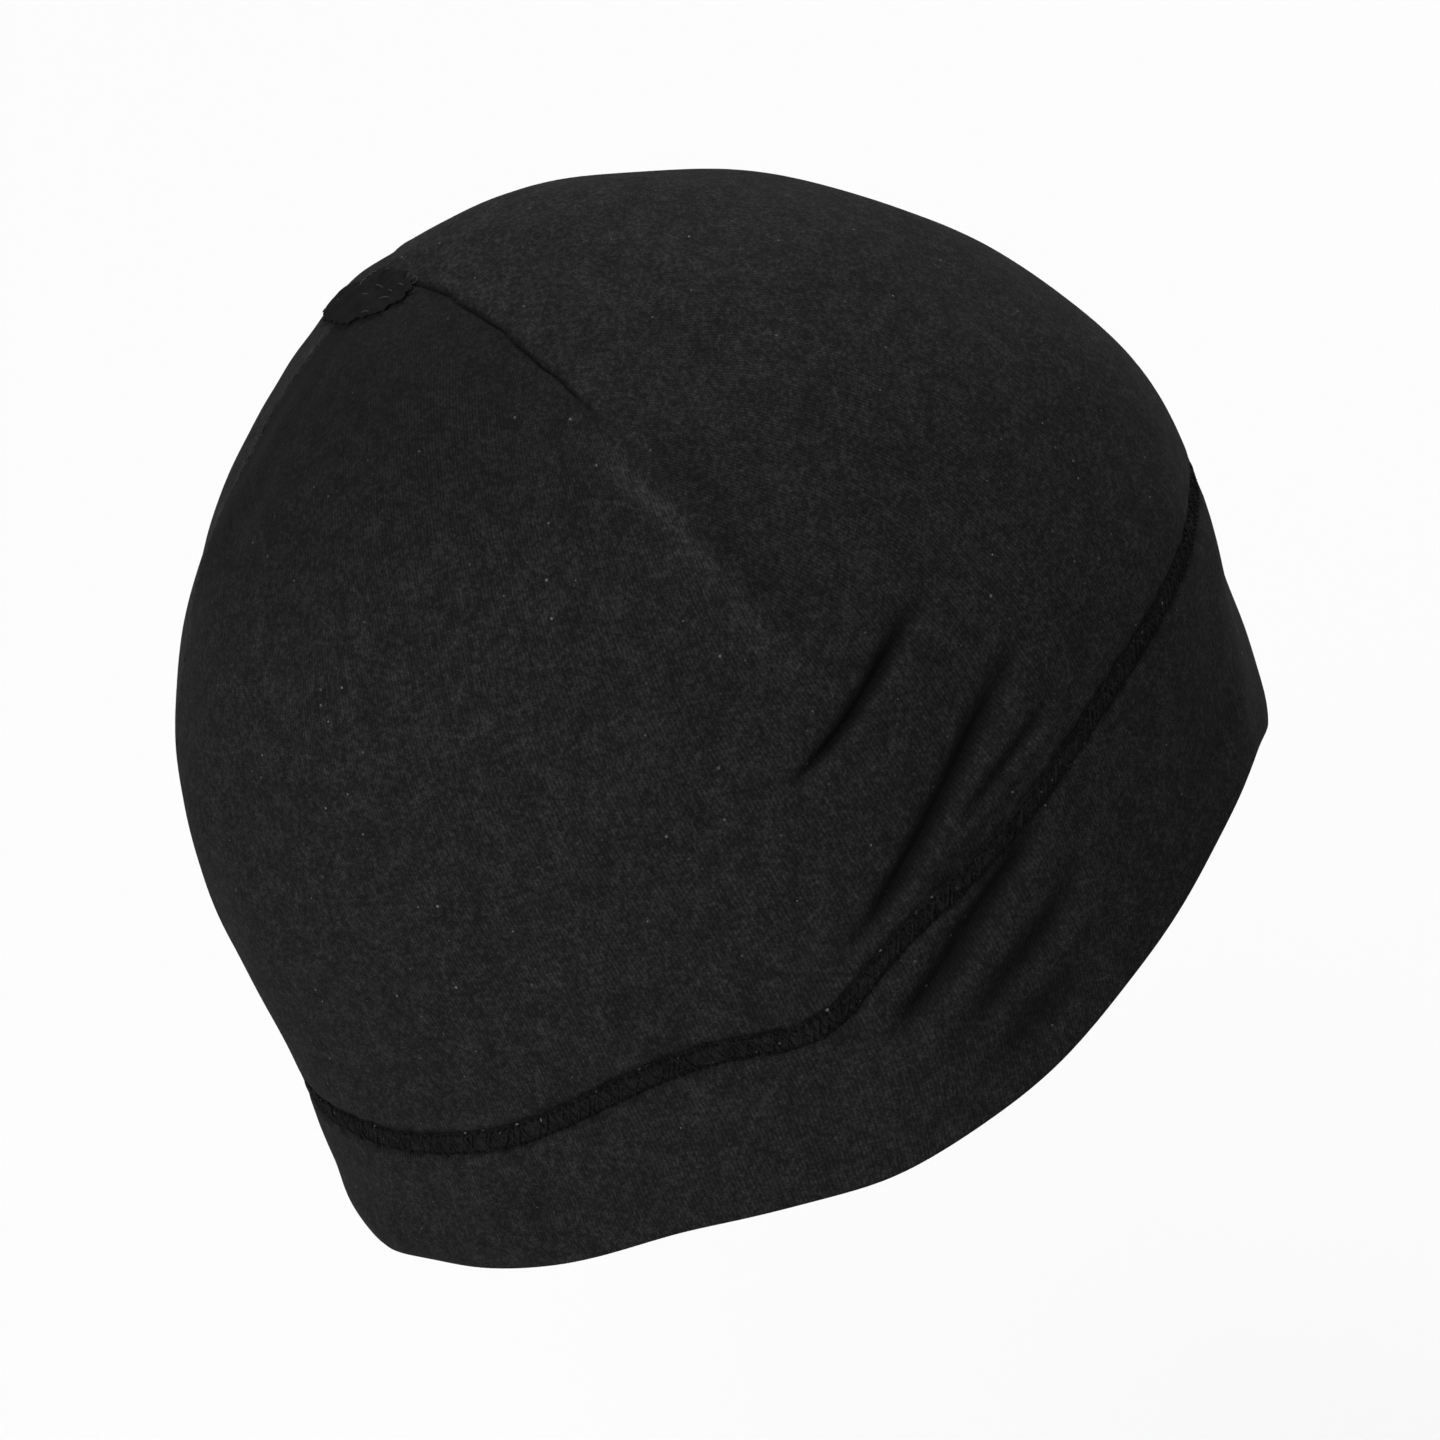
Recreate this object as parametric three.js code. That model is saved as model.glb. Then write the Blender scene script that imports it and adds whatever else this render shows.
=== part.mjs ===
// A close-fitting jersey skull cap, shaped as it sits on a head: a darted crown, the gathered tip
// where its darts meet, a flat joining seam and a folded band.
// Lengths are millimetres. Z is up as worn, the front faces -Y, the wearer's right side is at -X,
// and the origin is the middle of the head opening.
import * as THREE from "three";

// The cap as a whole: its opening is tilted, with the front edge high on the brow and the back low
const openingTilt = THREE.MathUtils.degToRad(29);
const girthRadius = 79;
const crownLevelLength = 20;
const bandLevelLength = 10;
const bandFirstLevel = 9;

// Cloth and seams
const crownThickness = 1.1;
const bandThickness = 2.2;
const seamWidth = 4.4;
const seamThickness = 1.5;
const seamSink = 0.2;
const seamEdgeRound = 0.45;
const pieceGap = 0.3;
const jerseyColour = 0x202020;
const jerseyRoughness = 0.92;
const seamRoughness = 0.88;
const tipRoughness = 0.85;

// The gathered tip
const tipThickness = 0.9;
const tipEdgeThickness = 0.6;
const tipSideCount = 36;
const tipNotchCount = 9;
const tipNotchShare = 0.02;
const tipRingShares = [0.35, 0.65, 0.88, 1];

// A table gives its columns back by name
function table(names, rows) {
  return Object.fromEntries(names.map((name, at) => [name, rows.map((row) => row[at])]));
}

// The upright cap at even levels from the tip down to the hem. Reach is forward of the origin,
// height is above it, for the front, the back and the widest part of the sides.
const sections = table(
  ["frontReach", "frontHeight", "backReach", "backHeight", "halfWidth", "sideHeight", "sideReach"],
  [
    [-4, 155, -4, 155, 0, 155, -4],
    [17, 157.2, -21, 148.5, 21, 151, 0],
    [38, 152.2, -37, 139.5, 40, 142.5, 4],
    [57.5, 142, -52, 128.2, 55.5, 129.5, 7],
    [75, 129.5, -63.5, 116, 66.5, 114.5, 9],
    [89.5, 114, -75.3, 99, 73.5, 97.5, 10],
    [101.5, 96, -82.2, 81, 77.5, 79, 11],
    [109.5, 76, -85.6, 62, 79, 60, 11],
    [111.2, 56, -86.4, 42, 79, 40, 11],
    [109, 40, -89.4, 23, 78, 20, 10],
    [106, 27, -90.6, 13, 77.5, 10, 9.5],
    [103.8, 13, -92, 4.5, 76.5, 0, 8],
    [98.8, -0.5, -88.8, -2.6, 75, -11, 5],
  ],
);

// Where the joining seam and the hem run, by degrees from the front round to the back
const edgeLines = table(
  ["degrees", "seamLevel", "hemLevel"],
  [
    [0, 8.35, 11.95],
    [23, 8.35, 11.47],
    [46, 8.33, 11.63],
    [62, 8.43, 11.92],
    [76, 8.58, 12.15],
    [88, 8.8, 12.2],
    [96, 9.08, 12.15],
    [104, 8.88, 11.95],
    [118, 8.77, 11.6],
    [135, 8.92, 11.67],
    [152, 8.75, 11.6],
    [166, 8.6, 11.45],
    [180, 8.5, 11.65],
  ],
);

// How far the gathered patch reaches from the tip, by bearing, in millimetres
const tipOutline = table(
  ["degrees", "reach"],
  [
    [0, 4.8],
    [22, 6.2],
    [40, 9],
    [52, 10.4],
    [63, 12.7],
    [75, 12.4],
    [90, 11.3],
    [104, 11.3],
    [120, 9.5],
    [136, 9.3],
    [160, 8.4],
    [184, 8.8],
    [204, 10.8],
    [220, 13.6],
    [233, 15.4],
    [242, 11.5],
    [252, 6.5],
    [265, 4],
    [290, 3.4],
    [325, 3.9],
  ],
);

// The cloth puffs up beside the tip on the wearer's left: the puff's middle is given by its bearing
// and its distance from the tip
const puffDegrees = 275;
const puffDistance = 15;
const puffHeight = 2.1;
const puffHalfWidth = 12;

// Two darts: each is stitched as a groove from the tip, where the front panel stands a step above
// the rear one, then a broad low ridge a little behind its line that dies away. A dart bends near
// the tip by the given degrees, and rearward is 1 or -1 for the way round that leads to the back.
const darts = table(
  ["degrees", "bend", "grooveEnd", "ridgeEnd", "grooveDepth", "step", "ridge", "rearward"],
  [
    [78, 38, 3.5, 6.7, 0.9, 0.35, 1.15, 1],
    [282, -38, 3.4, 6.5, 0.9, 0.3, 0.9, -1],
  ],
);
const dartBendLevels = 0.9;
const dartForward = 1;
const grooveHalfWidth = 1.5;
const grooveFadeLength = 0.9;
const stepHalfWidth = 2;
const stepReach = 5;
const ridgeHalfWidth = 4;
const ridgeBehind = 4.7;
const ridgeRiseBeforeEnd = 0.6;
const ridgeFullAfterEnd = 0.5;
const ridgeFallAfterEnd = 1.6;
const dartStartBeyondTip = 1;
const dartFullBeyondTip = 5;

// The seam down the middle of the back fades out where it reaches the joining seam
const backSeamDegrees = 180;
const backSeamDepth = 0.8;
const backSeamFadeLevel = 8;
const backSeamEndLevel = 8.8;

// Folds on the wearer's right, from their front end to their rear one: a valley, long on its upper
// side and short on its lower one, with a rolled lip below. Widths are half widths of the upper
// side, and lowerShare is how much narrower the lower side is.
const folds = table(
  [
    "fromDegrees", "fromLevel", "toDegrees", "toLevel", "bow",
    "frontWidth", "rearWidth", "lowerShare", "depth", "lip",
  ],
  [
    [60, 6.32, 89, 7, -0.5, 3.2, 2, 0.7, 2.6, 0.4],
    [55, 7.24, 93, 8.66, 0.6, 3.2, 2.4, 0.75, 2.6, 0.5],
    [55, 7.84, 77, 8.28, 0.5, 2.4, 2.2, 0.8, 1.6, 0.3],
    [63, 8.62, 92, 10.1, 0.4, 3.2, 3, 0.8, 2.8, 0.4],
    [60, 9.42, 86, 10.85, -1.1, 3.8, 3.2, 0.9, 2.2, 0.4],
    [59, 11.12, 86, 11.75, 1.5, 4.2, 4.4, 1, 1.6, 0.4],
    [117, 10.95, 150, 10.25, 2, 3.4, 3, 1, 0.8, 0.4],
    [22, 10.75, 52, 10.45, 0, 3.2, 3.2, 1, 0.9, 0],
    [-4, 10.9, 32, 10.9, 0, 3.4, 3.4, 1, 0, 1.3],
    [60, 8.2, 86, 8.52, 0, 2.4, 2.2, 1, 0.9, 0.1],
  ],
);

// A lip's centre line and half width, as multiples of its valley's upper half width, and the share
// of a fold's length over which it fades in at the front and out at the rear
const lipOffset = 2.1;
const lipWidth = 1.3;
const frontFadeShare = 0.4;
const rearFadeShare = 0.35;

// How finely the surfaces are faceted: zones of columns round the cap, and rows down each piece
const columnZones = table(
  ["fromDegrees", "toDegrees", "count"],
  [
    [0, 54, 7],
    [54, 96, 18],
    [96, 176, 11],
    [176, 184, 4],
    [184, 276, 9],
    [276, 290, 5],
    [290, 360, 8],
  ],
);
const crownRowZones = table(
  ["fromShare", "toShare", "count"],
  [
    [0, 0.24, 7],
    [0.24, 0.7, 7],
    [0.7, 1, 18],
  ],
);
const bandRowCount = 10;
const bandInsideRowCount = 7;
const hemRowCount = 3;

// Small steps for measuring slopes, and how many edge rows are mirrored past each end
const slopeDegrees = 0.5;
const slopeLevels = 0.02;
const nearTipLevel = 0.05;
const mirroredRowCount = 3;
const wrappedRowCount = 3;

// A natural cubic spline through the points, as a function of x
function smoothCurve(xs, ys) {
  const last = xs.length - 1;
  const bend = new Array(xs.length).fill(0);
  const carry = new Array(xs.length).fill(0);
  for (let i = 1; i < last; i += 1) {
    const before = xs[i] - xs[i - 1];
    const after = xs[i + 1] - xs[i];
    const jump = 6 * ((ys[i + 1] - ys[i]) / after - (ys[i] - ys[i - 1]) / before);
    const pivot = 2 * (before + after) - before * carry[i - 1];
    carry[i] = after / pivot;
    bend[i] = (jump - before * bend[i - 1]) / pivot;
  }
  for (let i = last - 1; i > 0; i -= 1) {
    bend[i] -= carry[i] * bend[i + 1];
  }
  return (x) => {
    const found = xs.findIndex((knot) => knot > x);
    const i = found < 0 ? last - 1 : Math.max(found - 1, 0);
    const span = xs[i + 1] - xs[i];
    const b = (x - xs[i]) / span;
    const a = 1 - b;
    const curl = (a ** 3 - a) * bend[i] + (b ** 3 - b) * bend[i + 1];
    return a * ys[i] + b * ys[i + 1] + (curl * span * span) / 6;
  };
}

// The named column of the sections as a smooth function of level
function sectionCurve(name) {
  return smoothCurve(sections[name].map((_, row) => row), sections[name]);
}

const curves = Object.fromEntries(Object.keys(sections).map((name) => [name, sectionCurve(name)]));

// An edge line, the same on both sides of the cap: mirrored past its ends so it runs level there
function edgeLine(name) {
  const degrees = edgeLines.degrees;
  const levels = edgeLines[name];
  const firstRows = (values) => values.slice(1, mirroredRowCount + 1).reverse();
  const lastRows = (values) => values.slice(-mirroredRowCount - 1, -1).reverse();
  const before = firstRows(degrees).map((x) => -x);
  const after = lastRows(degrees).map((x) => 360 - x);
  const curve = smoothCurve(
    [...before, ...degrees, ...after],
    [...firstRows(levels), ...levels, ...lastRows(levels)],
  );
  return (degreesRound) => curve(degreesRound <= 180 ? degreesRound : 360 - degreesRound);
}

const seamLevel = edgeLine("seamLevel");
const hemLevel = edgeLine("hemLevel");

// A bump that is 1 on its centre line and fades out over the half width
function bump(distance, halfWidth) {
  return Math.exp(-((distance / halfWidth) ** 2));
}

// Rises smoothly from 0 to 1 between two values
function rise(value, from, to) {
  return THREE.MathUtils.smoothstep(value, from, to);
}

// The shortest way round from one bearing to another, in degrees
function turnBetween(from, to) {
  return THREE.MathUtils.euclideanModulo(to - from + 180, 360) - 180;
}

// How far the puff beside the tip lifts the cloth
function puffRise(degrees, level) {
  const turn = THREE.MathUtils.degToRad(turnBetween(puffDegrees, degrees));
  const fromTip = level * crownLevelLength;
  const away = Math.hypot(fromTip * Math.cos(turn) - puffDistance, fromTip * Math.sin(turn));
  return puffHeight * bump(away, puffHalfWidth);
}

// The smooth body of the cap: degrees run from the front, over the wearer's right, to the back
function bodyPoint(degrees, level) {
  const angle = THREE.MathUtils.degToRad(degrees);
  const ahead = Math.cos(angle);
  const aside = Math.sin(angle);
  const side = curves.sideReach(level);
  const inFront = ahead > 0;
  const reach = inFront ? curves.frontReach(level) - side : side - curves.backReach(level);
  const height = inFront ? curves.frontHeight(level) : curves.backHeight(level);
  const forward = side + ahead * reach;
  const plain = ahead * ahead * height + aside * aside * curves.sideHeight(level);
  const up = plain + puffRise(degrees, level);
  const out = -curves.halfWidth(level) * aside;
  return new THREE.Vector3(
    out,
    -forward * Math.cos(openingTilt) + up * Math.sin(openingTilt),
    forward * Math.sin(openingTilt) + up * Math.cos(openingTilt),
  );
}

// The body's outward direction, from its slopes round and down the cap
function bodyNormal(degrees, level) {
  const at = Math.max(level, nearTipLevel);
  const round = bodyPoint(degrees + slopeDegrees, at).sub(bodyPoint(degrees - slopeDegrees, at));
  const down = bodyPoint(degrees, at + slopeLevels).sub(bodyPoint(degrees, at - slopeLevels));
  return round.cross(down).normalize();
}

// Millimetres across the cloth from a line down the cap at the given degrees
function distanceAcross(fromDegrees, degrees, level) {
  return THREE.MathUtils.degToRad(turnBetween(fromDegrees, degrees)) * curves.halfWidth(level);
}

// The cloth laid flat round the cap's girth: millimetres along and millimetres down from the tip
function flatPoint(degrees, level) {
  const along = THREE.MathUtils.degToRad(turnBetween(90, degrees)) * girthRadius;
  const inCrown = Math.min(level, bandFirstLevel) * crownLevelLength;
  const inBand = Math.max(level - bandFirstLevel, 0) * bandLevelLength;
  return new THREE.Vector2(along, inCrown + inBand);
}

// The patch's outline as a smooth curve round the tip: rows of each end repeat beyond the other
const outlineLast = tipOutline.degrees.length - wrappedRowCount;
const outlineCurve = smoothCurve(
  [
    ...tipOutline.degrees.slice(outlineLast).map((x) => x - 360),
    ...tipOutline.degrees,
    ...tipOutline.degrees.slice(0, wrappedRowCount).map((x) => x + 360),
  ],
  [
    ...tipOutline.reach.slice(outlineLast),
    ...tipOutline.reach,
    ...tipOutline.reach.slice(0, wrappedRowCount),
  ],
);

// How far the gathered tip reaches over the crown at a bearing, with a notched edge
function tipReach(degrees) {
  const notches = Math.sin(tipNotchCount * THREE.MathUtils.degToRad(degrees));
  return outlineCurve(THREE.MathUtils.euclideanModulo(degrees, 360)) * (1 + tipNotchShare * notches);
}

// How fully a seam is sewn, from 0 at the gathered tip to 1, and back to 0 at its end
function sewnShare(degrees, level, fadeLevel, endLevel) {
  const beyondTip = level * crownLevelLength - tipReach(degrees);
  return rise(beyondTip, dartStartBeyondTip, dartFullBeyondTip) * (1 - rise(level, fadeLevel, endLevel));
}

// Grooves, steps and ridges of the darts, and the groove of the seam down the back
function dartRelief(degrees, level) {
  let relief = 0;
  darts.degrees.forEach((dartDegrees, row) => {
    const line = dartDegrees - darts.bend[row] * Math.exp(-level / dartBendLevels);
    const behind = distanceAcross(line, degrees, level) * darts.rearward[row] + dartForward;
    const end = darts.grooveEnd[row];
    const stitched = sewnShare(degrees, level, end - grooveFadeLength, end);
    const ridged = rise(level, end - ridgeRiseBeforeEnd, end + ridgeFullAfterEnd) *
      (1 - rise(level, end + ridgeFallAfterEnd, darts.ridgeEnd[row]));
    const raised = (1 - 2 * rise(behind, -stepHalfWidth, stepHalfWidth)) *
      Math.exp(-Math.abs(behind) / stepReach);
    relief -= darts.grooveDepth[row] * stitched * bump(behind, grooveHalfWidth);
    relief += darts.step[row] * stitched * raised;
    relief += darts.ridge[row] * ridged * bump(behind - ridgeBehind, ridgeHalfWidth);
  });
  const fromBackSeam = distanceAcross(backSeamDegrees, degrees, level);
  const sewn = sewnShare(degrees, level, backSeamFadeLevel, backSeamEndLevel);
  return relief - backSeamDepth * sewn * bump(fromBackSeam, grooveHalfWidth);
}

// Valleys and lips of the folds, fading out at both ends
function foldRelief(degrees, level) {
  const here = flatPoint(degrees, level);
  let relief = 0;
  folds.fromDegrees.forEach((fromDegrees, row) => {
    const start = flatPoint(fromDegrees, folds.fromLevel[row]);
    const along = flatPoint(folds.toDegrees[row], folds.toLevel[row]).sub(start);
    const step = here.clone().sub(start);
    const share = THREE.MathUtils.clamp(step.dot(along) / along.lengthSq(), 0, 1);
    const bowed = folds.bow[row] * 4 * share * (1 - share);
    const below = along.cross(step) / along.length() + bowed;
    const fade = rise(share, 0, frontFadeShare) * (1 - rise(share, 1 - rearFadeShare, 1));
    const upper = THREE.MathUtils.lerp(folds.frontWidth[row], folds.rearWidth[row], share);
    const halfWidth = below < 0 ? upper : upper * folds.lowerShare[row];
    relief -= folds.depth[row] * fade * bump(below, halfWidth);
    relief += folds.lip[row] * fade * bump(below - lipOffset * upper, lipWidth * upper);
  });
  return relief;
}

// A point of the cloth, at a depth under its creased outer face
function clothPoint(degrees, level, depth) {
  const relief = dartRelief(degrees, level) + foldRelief(degrees, level);
  return bodyPoint(degrees, level).addScaledVector(bodyNormal(degrees, level), relief - depth);
}

// The level that lies a number of millimetres below the joining seam's centre line
function levelBelowSeam(degrees, millimetres) {
  const seam = seamLevel(degrees);
  const above = bodyPoint(degrees, seam - slopeLevels);
  const below = bodyPoint(degrees, seam + slopeLevels);
  return seam + (millimetres * 2 * slopeLevels) / above.distanceTo(below);
}

// Even steps inside each zone of a table, from the zone's start up to its end
function zoneSteps(froms, tos, counts) {
  return counts.flatMap((count, zone) => {
    const width = tos[zone] - froms[zone];
    return Array.from({ length: count }, (_, step) => froms[zone] + (width * step) / count);
  });
}

// The bearings of the columns, closer together where the cloth is creased
const columns = zoneSteps(columnZones.fromDegrees, columnZones.toDegrees, columnZones.count);

// A ring of cloth points, one for each column: the level and the depth may change round the cap
function ring(levelAt, depth) {
  return columns.map((degrees) => clothPoint(degrees, levelAt(degrees), depth));
}

// Triangles between rings of points, each ring listed the same way round. The rings either close
// on themselves or start and end in a single point; the faces look out for rings that run down
// the outside first.
function ringBody(rings, closedLoop) {
  const positions = rings.flat();
  const starts = rings.map((_, at) => rings.slice(0, at).reduce((sum, points) => sum + points.length, 0));
  const faces = [];
  const stripCount = closedLoop ? rings.length : rings.length - 1;
  for (let strip = 0; strip < stripCount; strip += 1) {
    const below = (strip + 1) % rings.length;
    const upper = (at) => starts[strip] + (at % rings[strip].length);
    const lower = (at) => starts[below] + (at % rings[below].length);
    const sideCount = Math.max(rings[strip].length, rings[below].length);
    for (let side = 0; side < sideCount; side += 1) {
      if (rings[strip].length > 1) {
        faces.push(upper(side), upper(side + 1), lower(side));
      }
      if (rings[below].length > 1) {
        faces.push(upper(side + 1), lower(side + 1), lower(side));
      }
    }
  }
  const geometry = new THREE.BufferGeometry().setFromPoints(positions);
  geometry.setIndex(faces);
  geometry.computeVertexNormals();
  return geometry;
}

function clothMaterial(name, roughness) {
  return new THREE.MeshStandardMaterial({ name, color: jerseyColour, roughness, metalness: 0 });
}

function namedMesh(name, geometry, roughness) {
  const mesh = new THREE.Mesh(geometry, clothMaterial(`${name}_cloth`, roughness));
  mesh.name = name;
  return mesh;
}

// Shares of the way down the crown, closer together at the tip and in the folds
function crownShares() {
  const steps = zoneSteps(crownRowZones.fromShare, crownRowZones.toShare, crownRowZones.count);
  return [...steps.slice(1), 1];
}

// The crown is one thin shell, open below, with the tip as a single point outside and inside
function crown() {
  const edge = (degrees) => levelBelowSeam(degrees, -seamWidth / 2 - pieceGap);
  const shares = crownShares();
  const outside = shares.map((share) => ring((degrees) => share * edge(degrees), 0));
  const inside = shares.map((share) => ring((degrees) => share * edge(degrees), crownThickness));
  const tipOutside = [bodyPoint(0, 0)];
  const tipInside = [bodyPoint(0, 0).addScaledVector(bodyNormal(90, 0), -crownThickness)];
  return ringBody([tipOutside, ...outside, ...inside.reverse(), tipInside], false);
}

// The joining seam is a flat strip with rounded edges, lying a little below the cloth beside it
function joiningSeam() {
  const half = seamWidth / 2;
  const floor = seamSink + seamThickness;
  const outline = table(
    ["below", "depth"],
    [
      [-half, seamSink + seamEdgeRound],
      [-half + seamEdgeRound, seamSink],
      [half - seamEdgeRound, seamSink],
      [half, seamSink + seamEdgeRound],
      [half, floor],
      [-half, floor],
    ],
  );
  const rings = outline.below.map((below, at) =>
    ring((degrees) => levelBelowSeam(degrees, below), outline.depth[at]));
  return ringBody(rings, true);
}

// The band is cloth folded double, closed at the hem by a round fold
function band() {
  const top = (degrees) => levelBelowSeam(degrees, seamWidth / 2 + pieceGap);
  const between = (share) => (degrees) => THREE.MathUtils.lerp(top(degrees), hemLevel(degrees), share);
  const rings = [];
  for (let row = 0; row <= bandRowCount; row += 1) {
    rings.push(ring(between(row / bandRowCount), 0));
  }
  const foldRadius = bandThickness / 2;
  for (let row = 1; row <= hemRowCount; row += 1) {
    const turn = (Math.PI * row) / (hemRowCount + 1);
    const lower = (foldRadius * Math.sin(turn)) / bandLevelLength;
    const depth = foldRadius * (1 - Math.cos(turn));
    rings.push(ring((degrees) => hemLevel(degrees) + lower, depth));
  }
  for (let row = bandInsideRowCount; row >= 0; row -= 1) {
    rings.push(ring(between(row / bandInsideRowCount), bandThickness));
  }
  return ringBody(rings, true);
}

// The gathered tip is a low pad that follows the crown under it
function crownTip() {
  const sides = Array.from({ length: tipSideCount }, (_, at) => (360 * at) / tipSideCount);
  const layer = (share, height) =>
    sides.map((degrees) => {
      const level = (share * tipReach(degrees)) / crownLevelLength;
      return bodyPoint(degrees, level).addScaledVector(bodyNormal(degrees, level), height);
    });
  const crest = (share) => tipEdgeThickness + (tipThickness - tipEdgeThickness) * (1 - share ** 3);
  const up = bodyNormal(90, 0);
  const topPoint = [bodyPoint(0, 0).addScaledVector(up, pieceGap + tipThickness)];
  const floorPoint = [bodyPoint(0, 0).addScaledVector(up, pieceGap)];
  const top = tipRingShares.map((share) => layer(share, pieceGap + crest(share)));
  const floor = tipRingShares.map((share) => layer(share, pieceGap)).reverse();
  return ringBody([topPoint, ...top, ...floor, floorPoint], false);
}

const skullCap = new THREE.Group();
skullCap.add(namedMesh("crown", crown(), jerseyRoughness));
skullCap.add(namedMesh("crown_tip", crownTip(), tipRoughness));
skullCap.add(namedMesh("joining_seam", joiningSeam(), seamRoughness));
skullCap.add(namedMesh("band", band(), jerseyRoughness));

export default skullCap;
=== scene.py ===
import math
import bpy
import numpy as np
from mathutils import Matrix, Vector


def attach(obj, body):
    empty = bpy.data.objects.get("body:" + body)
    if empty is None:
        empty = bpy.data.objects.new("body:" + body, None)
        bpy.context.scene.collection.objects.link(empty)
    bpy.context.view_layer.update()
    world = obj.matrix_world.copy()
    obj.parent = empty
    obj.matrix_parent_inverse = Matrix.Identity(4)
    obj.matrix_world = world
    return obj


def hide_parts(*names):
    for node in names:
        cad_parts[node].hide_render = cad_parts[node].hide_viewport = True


# A jersey skull cap in the shape that it takes on a head. The shapes are worked out in
# millimetres and put into the meshes in metres; the front faces -Y, the wearer's right is at -X.

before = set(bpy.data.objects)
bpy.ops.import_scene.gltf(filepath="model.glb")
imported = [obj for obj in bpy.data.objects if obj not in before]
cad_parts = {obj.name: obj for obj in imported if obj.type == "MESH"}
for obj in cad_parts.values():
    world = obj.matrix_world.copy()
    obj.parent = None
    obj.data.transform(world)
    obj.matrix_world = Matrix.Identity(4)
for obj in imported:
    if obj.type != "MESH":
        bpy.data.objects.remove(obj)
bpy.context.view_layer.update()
metresPerMillimetre = 0.001


# Curves and small helpers.

def smoothCurve(xs, ys):
    # a natural cubic spline: its second slopes solve one small system of equations
    xs, ys = np.asarray(xs, float), np.asarray(ys, float)
    spans = np.diff(xs)
    count = len(xs)
    system = np.eye(count)
    jumps = np.zeros(count)
    inner = np.arange(1, count - 1)
    system[inner, inner - 1] = spans[:-1]
    system[inner, inner] = 2 * (spans[:-1] + spans[1:])
    system[inner, inner + 1] = spans[1:]
    jumps[inner] = 6 * np.diff(np.diff(ys) / spans)
    bend = np.linalg.solve(system, jumps)

    def curve(x):
        # a straight line between two points plus a cubic that is zero at both
        i = np.clip(np.searchsorted(xs, x, side="right") - 1, 0, count - 2)
        span = spans[i]
        b = (x - xs[i]) / span
        a = 1 - b
        curl = (a ** 3 - a) * bend[i] + (b ** 3 - b) * bend[i + 1]
        return a * ys[i] + b * ys[i + 1] + curl * span ** 2 / 6

    return curve


def rise(value, low, high):
    # 0 below low, 1 above high, and 3t^2 - 2t^3 between
    t = np.clip((value - low) / (high - low), 0, 1)
    return t * t * (3 - 2 * t)


def bump(distance, halfWidth):
    # exp(-(distance / half width)^2)
    return np.exp(-(distance / halfWidth) ** 2)


def turnBetween(start, end):
    # the shortest way round from one bearing to another, in degrees
    return (end - start + 180) % 360 - 180


def rows(table):
    # a table of named columns as one dictionary for each row
    return [dict(zip(table, values)) for values in zip(*table.values())]


def waves(x, y, table):
    # a sum of sines, each with its own height, wavelengths and start
    return sum(height * np.sin(2 * np.pi * (x / lengthX + y / lengthY) + start)
               for height, lengthX, lengthY, start in table)


def ripples(x, y, table):
    # a sum of sines, each with its own height, radians for each millimetre both ways, and start
    return sum(height * np.sin(turnX * x + turnY * y + start) for height, turnX, turnY, start in table)


def turnWaves(degrees, table):
    # a sum of sines round the cap, each with its own size, waves in a turn and start
    return sum(size * np.sin(count * np.radians(degrees) + start) for size, count, start in table)


# The body of the cap.

capBody = {
    "openingTilt": 29.0,  # degrees, front edge up
    "girthRadius": 79.0,
    "crownLevel": 20.0,  # length of a level down the crown
    "bandLevel": 10.0,  # length of a level down the band
    "bandFirst": 9.0,  # the level where the short levels begin
    "sections": {  # at even levels from the tip to the hem
        "frontReach": [-4, 17, 38, 57.5, 75, 89.5, 101.5, 109.5, 111.2, 109, 106, 103.8, 98.8],
        "frontHeight": [155, 157.2, 152.2, 142, 129.5, 114, 96, 76, 56, 40, 27, 13, -0.5],
        "backReach": [-4, -21, -37, -52, -63.5, -75.3, -82.2, -85.6, -86.4, -89.4, -90.6, -92,
                      -88.8],
        "backHeight": [155, 148.5, 139.5, 128.2, 116, 99, 81, 62, 42, 23, 13, 4.5, -2.6],
        "halfWidth": [0, 21, 40, 55.5, 66.5, 73.5, 77.5, 79, 79, 78, 77.5, 76.5, 75],
        "sideHeight": [155, 151, 142.5, 129.5, 114.5, 97.5, 79, 60, 40, 20, 10, 0, -11],
        "sideReach": [-4, 0, 4, 7, 9, 10, 11, 11, 11, 10, 9.5, 8, 5],
    },
    "edges": {  # the joining seam and the hem, by degrees from front to back
        "degrees": [0, 23, 46, 62, 76, 88, 96, 104, 118, 135, 152, 166, 180],
        "seam": [8.35, 8.35, 8.33, 8.43, 8.58, 8.8, 9.08, 8.88, 8.77, 8.92, 8.75, 8.6, 8.5],
        "hem": [11.95, 11.47, 11.63, 11.92, 12.15, 12.2, 12.15, 11.95, 11.6, 11.67, 11.6, 11.45,
                11.65],
    },
    "puff": {  # the cloth puffs up beside the tip, on the wearer's left
        "degrees": 275,
        "distance": 15.0,
        "height": 2.1,
        "halfWidth": 12.0,
    },
}

bodyCurves = {name: smoothCurve(range(len(values)), values)
              for name, values in capBody["sections"].items()}


def edgeLine(name):
    # the line is mirrored past both ends, so it runs level over the front and the back
    degrees = np.array(capBody["edges"]["degrees"], float)
    levels = np.array(capBody["edges"][name], float)
    xs = np.concatenate([-degrees[3:0:-1], degrees, 360 - degrees[-2:-5:-1]])
    ys = np.concatenate([levels[3:0:-1], levels, levels[-2:-5:-1]])
    curve = smoothCurve(xs, ys)
    return lambda bearing: curve(np.abs(turnBetween(0, np.asarray(bearing, float))))


seamLevel = edgeLine("seam")
hemLevel = edgeLine("hem")


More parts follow.
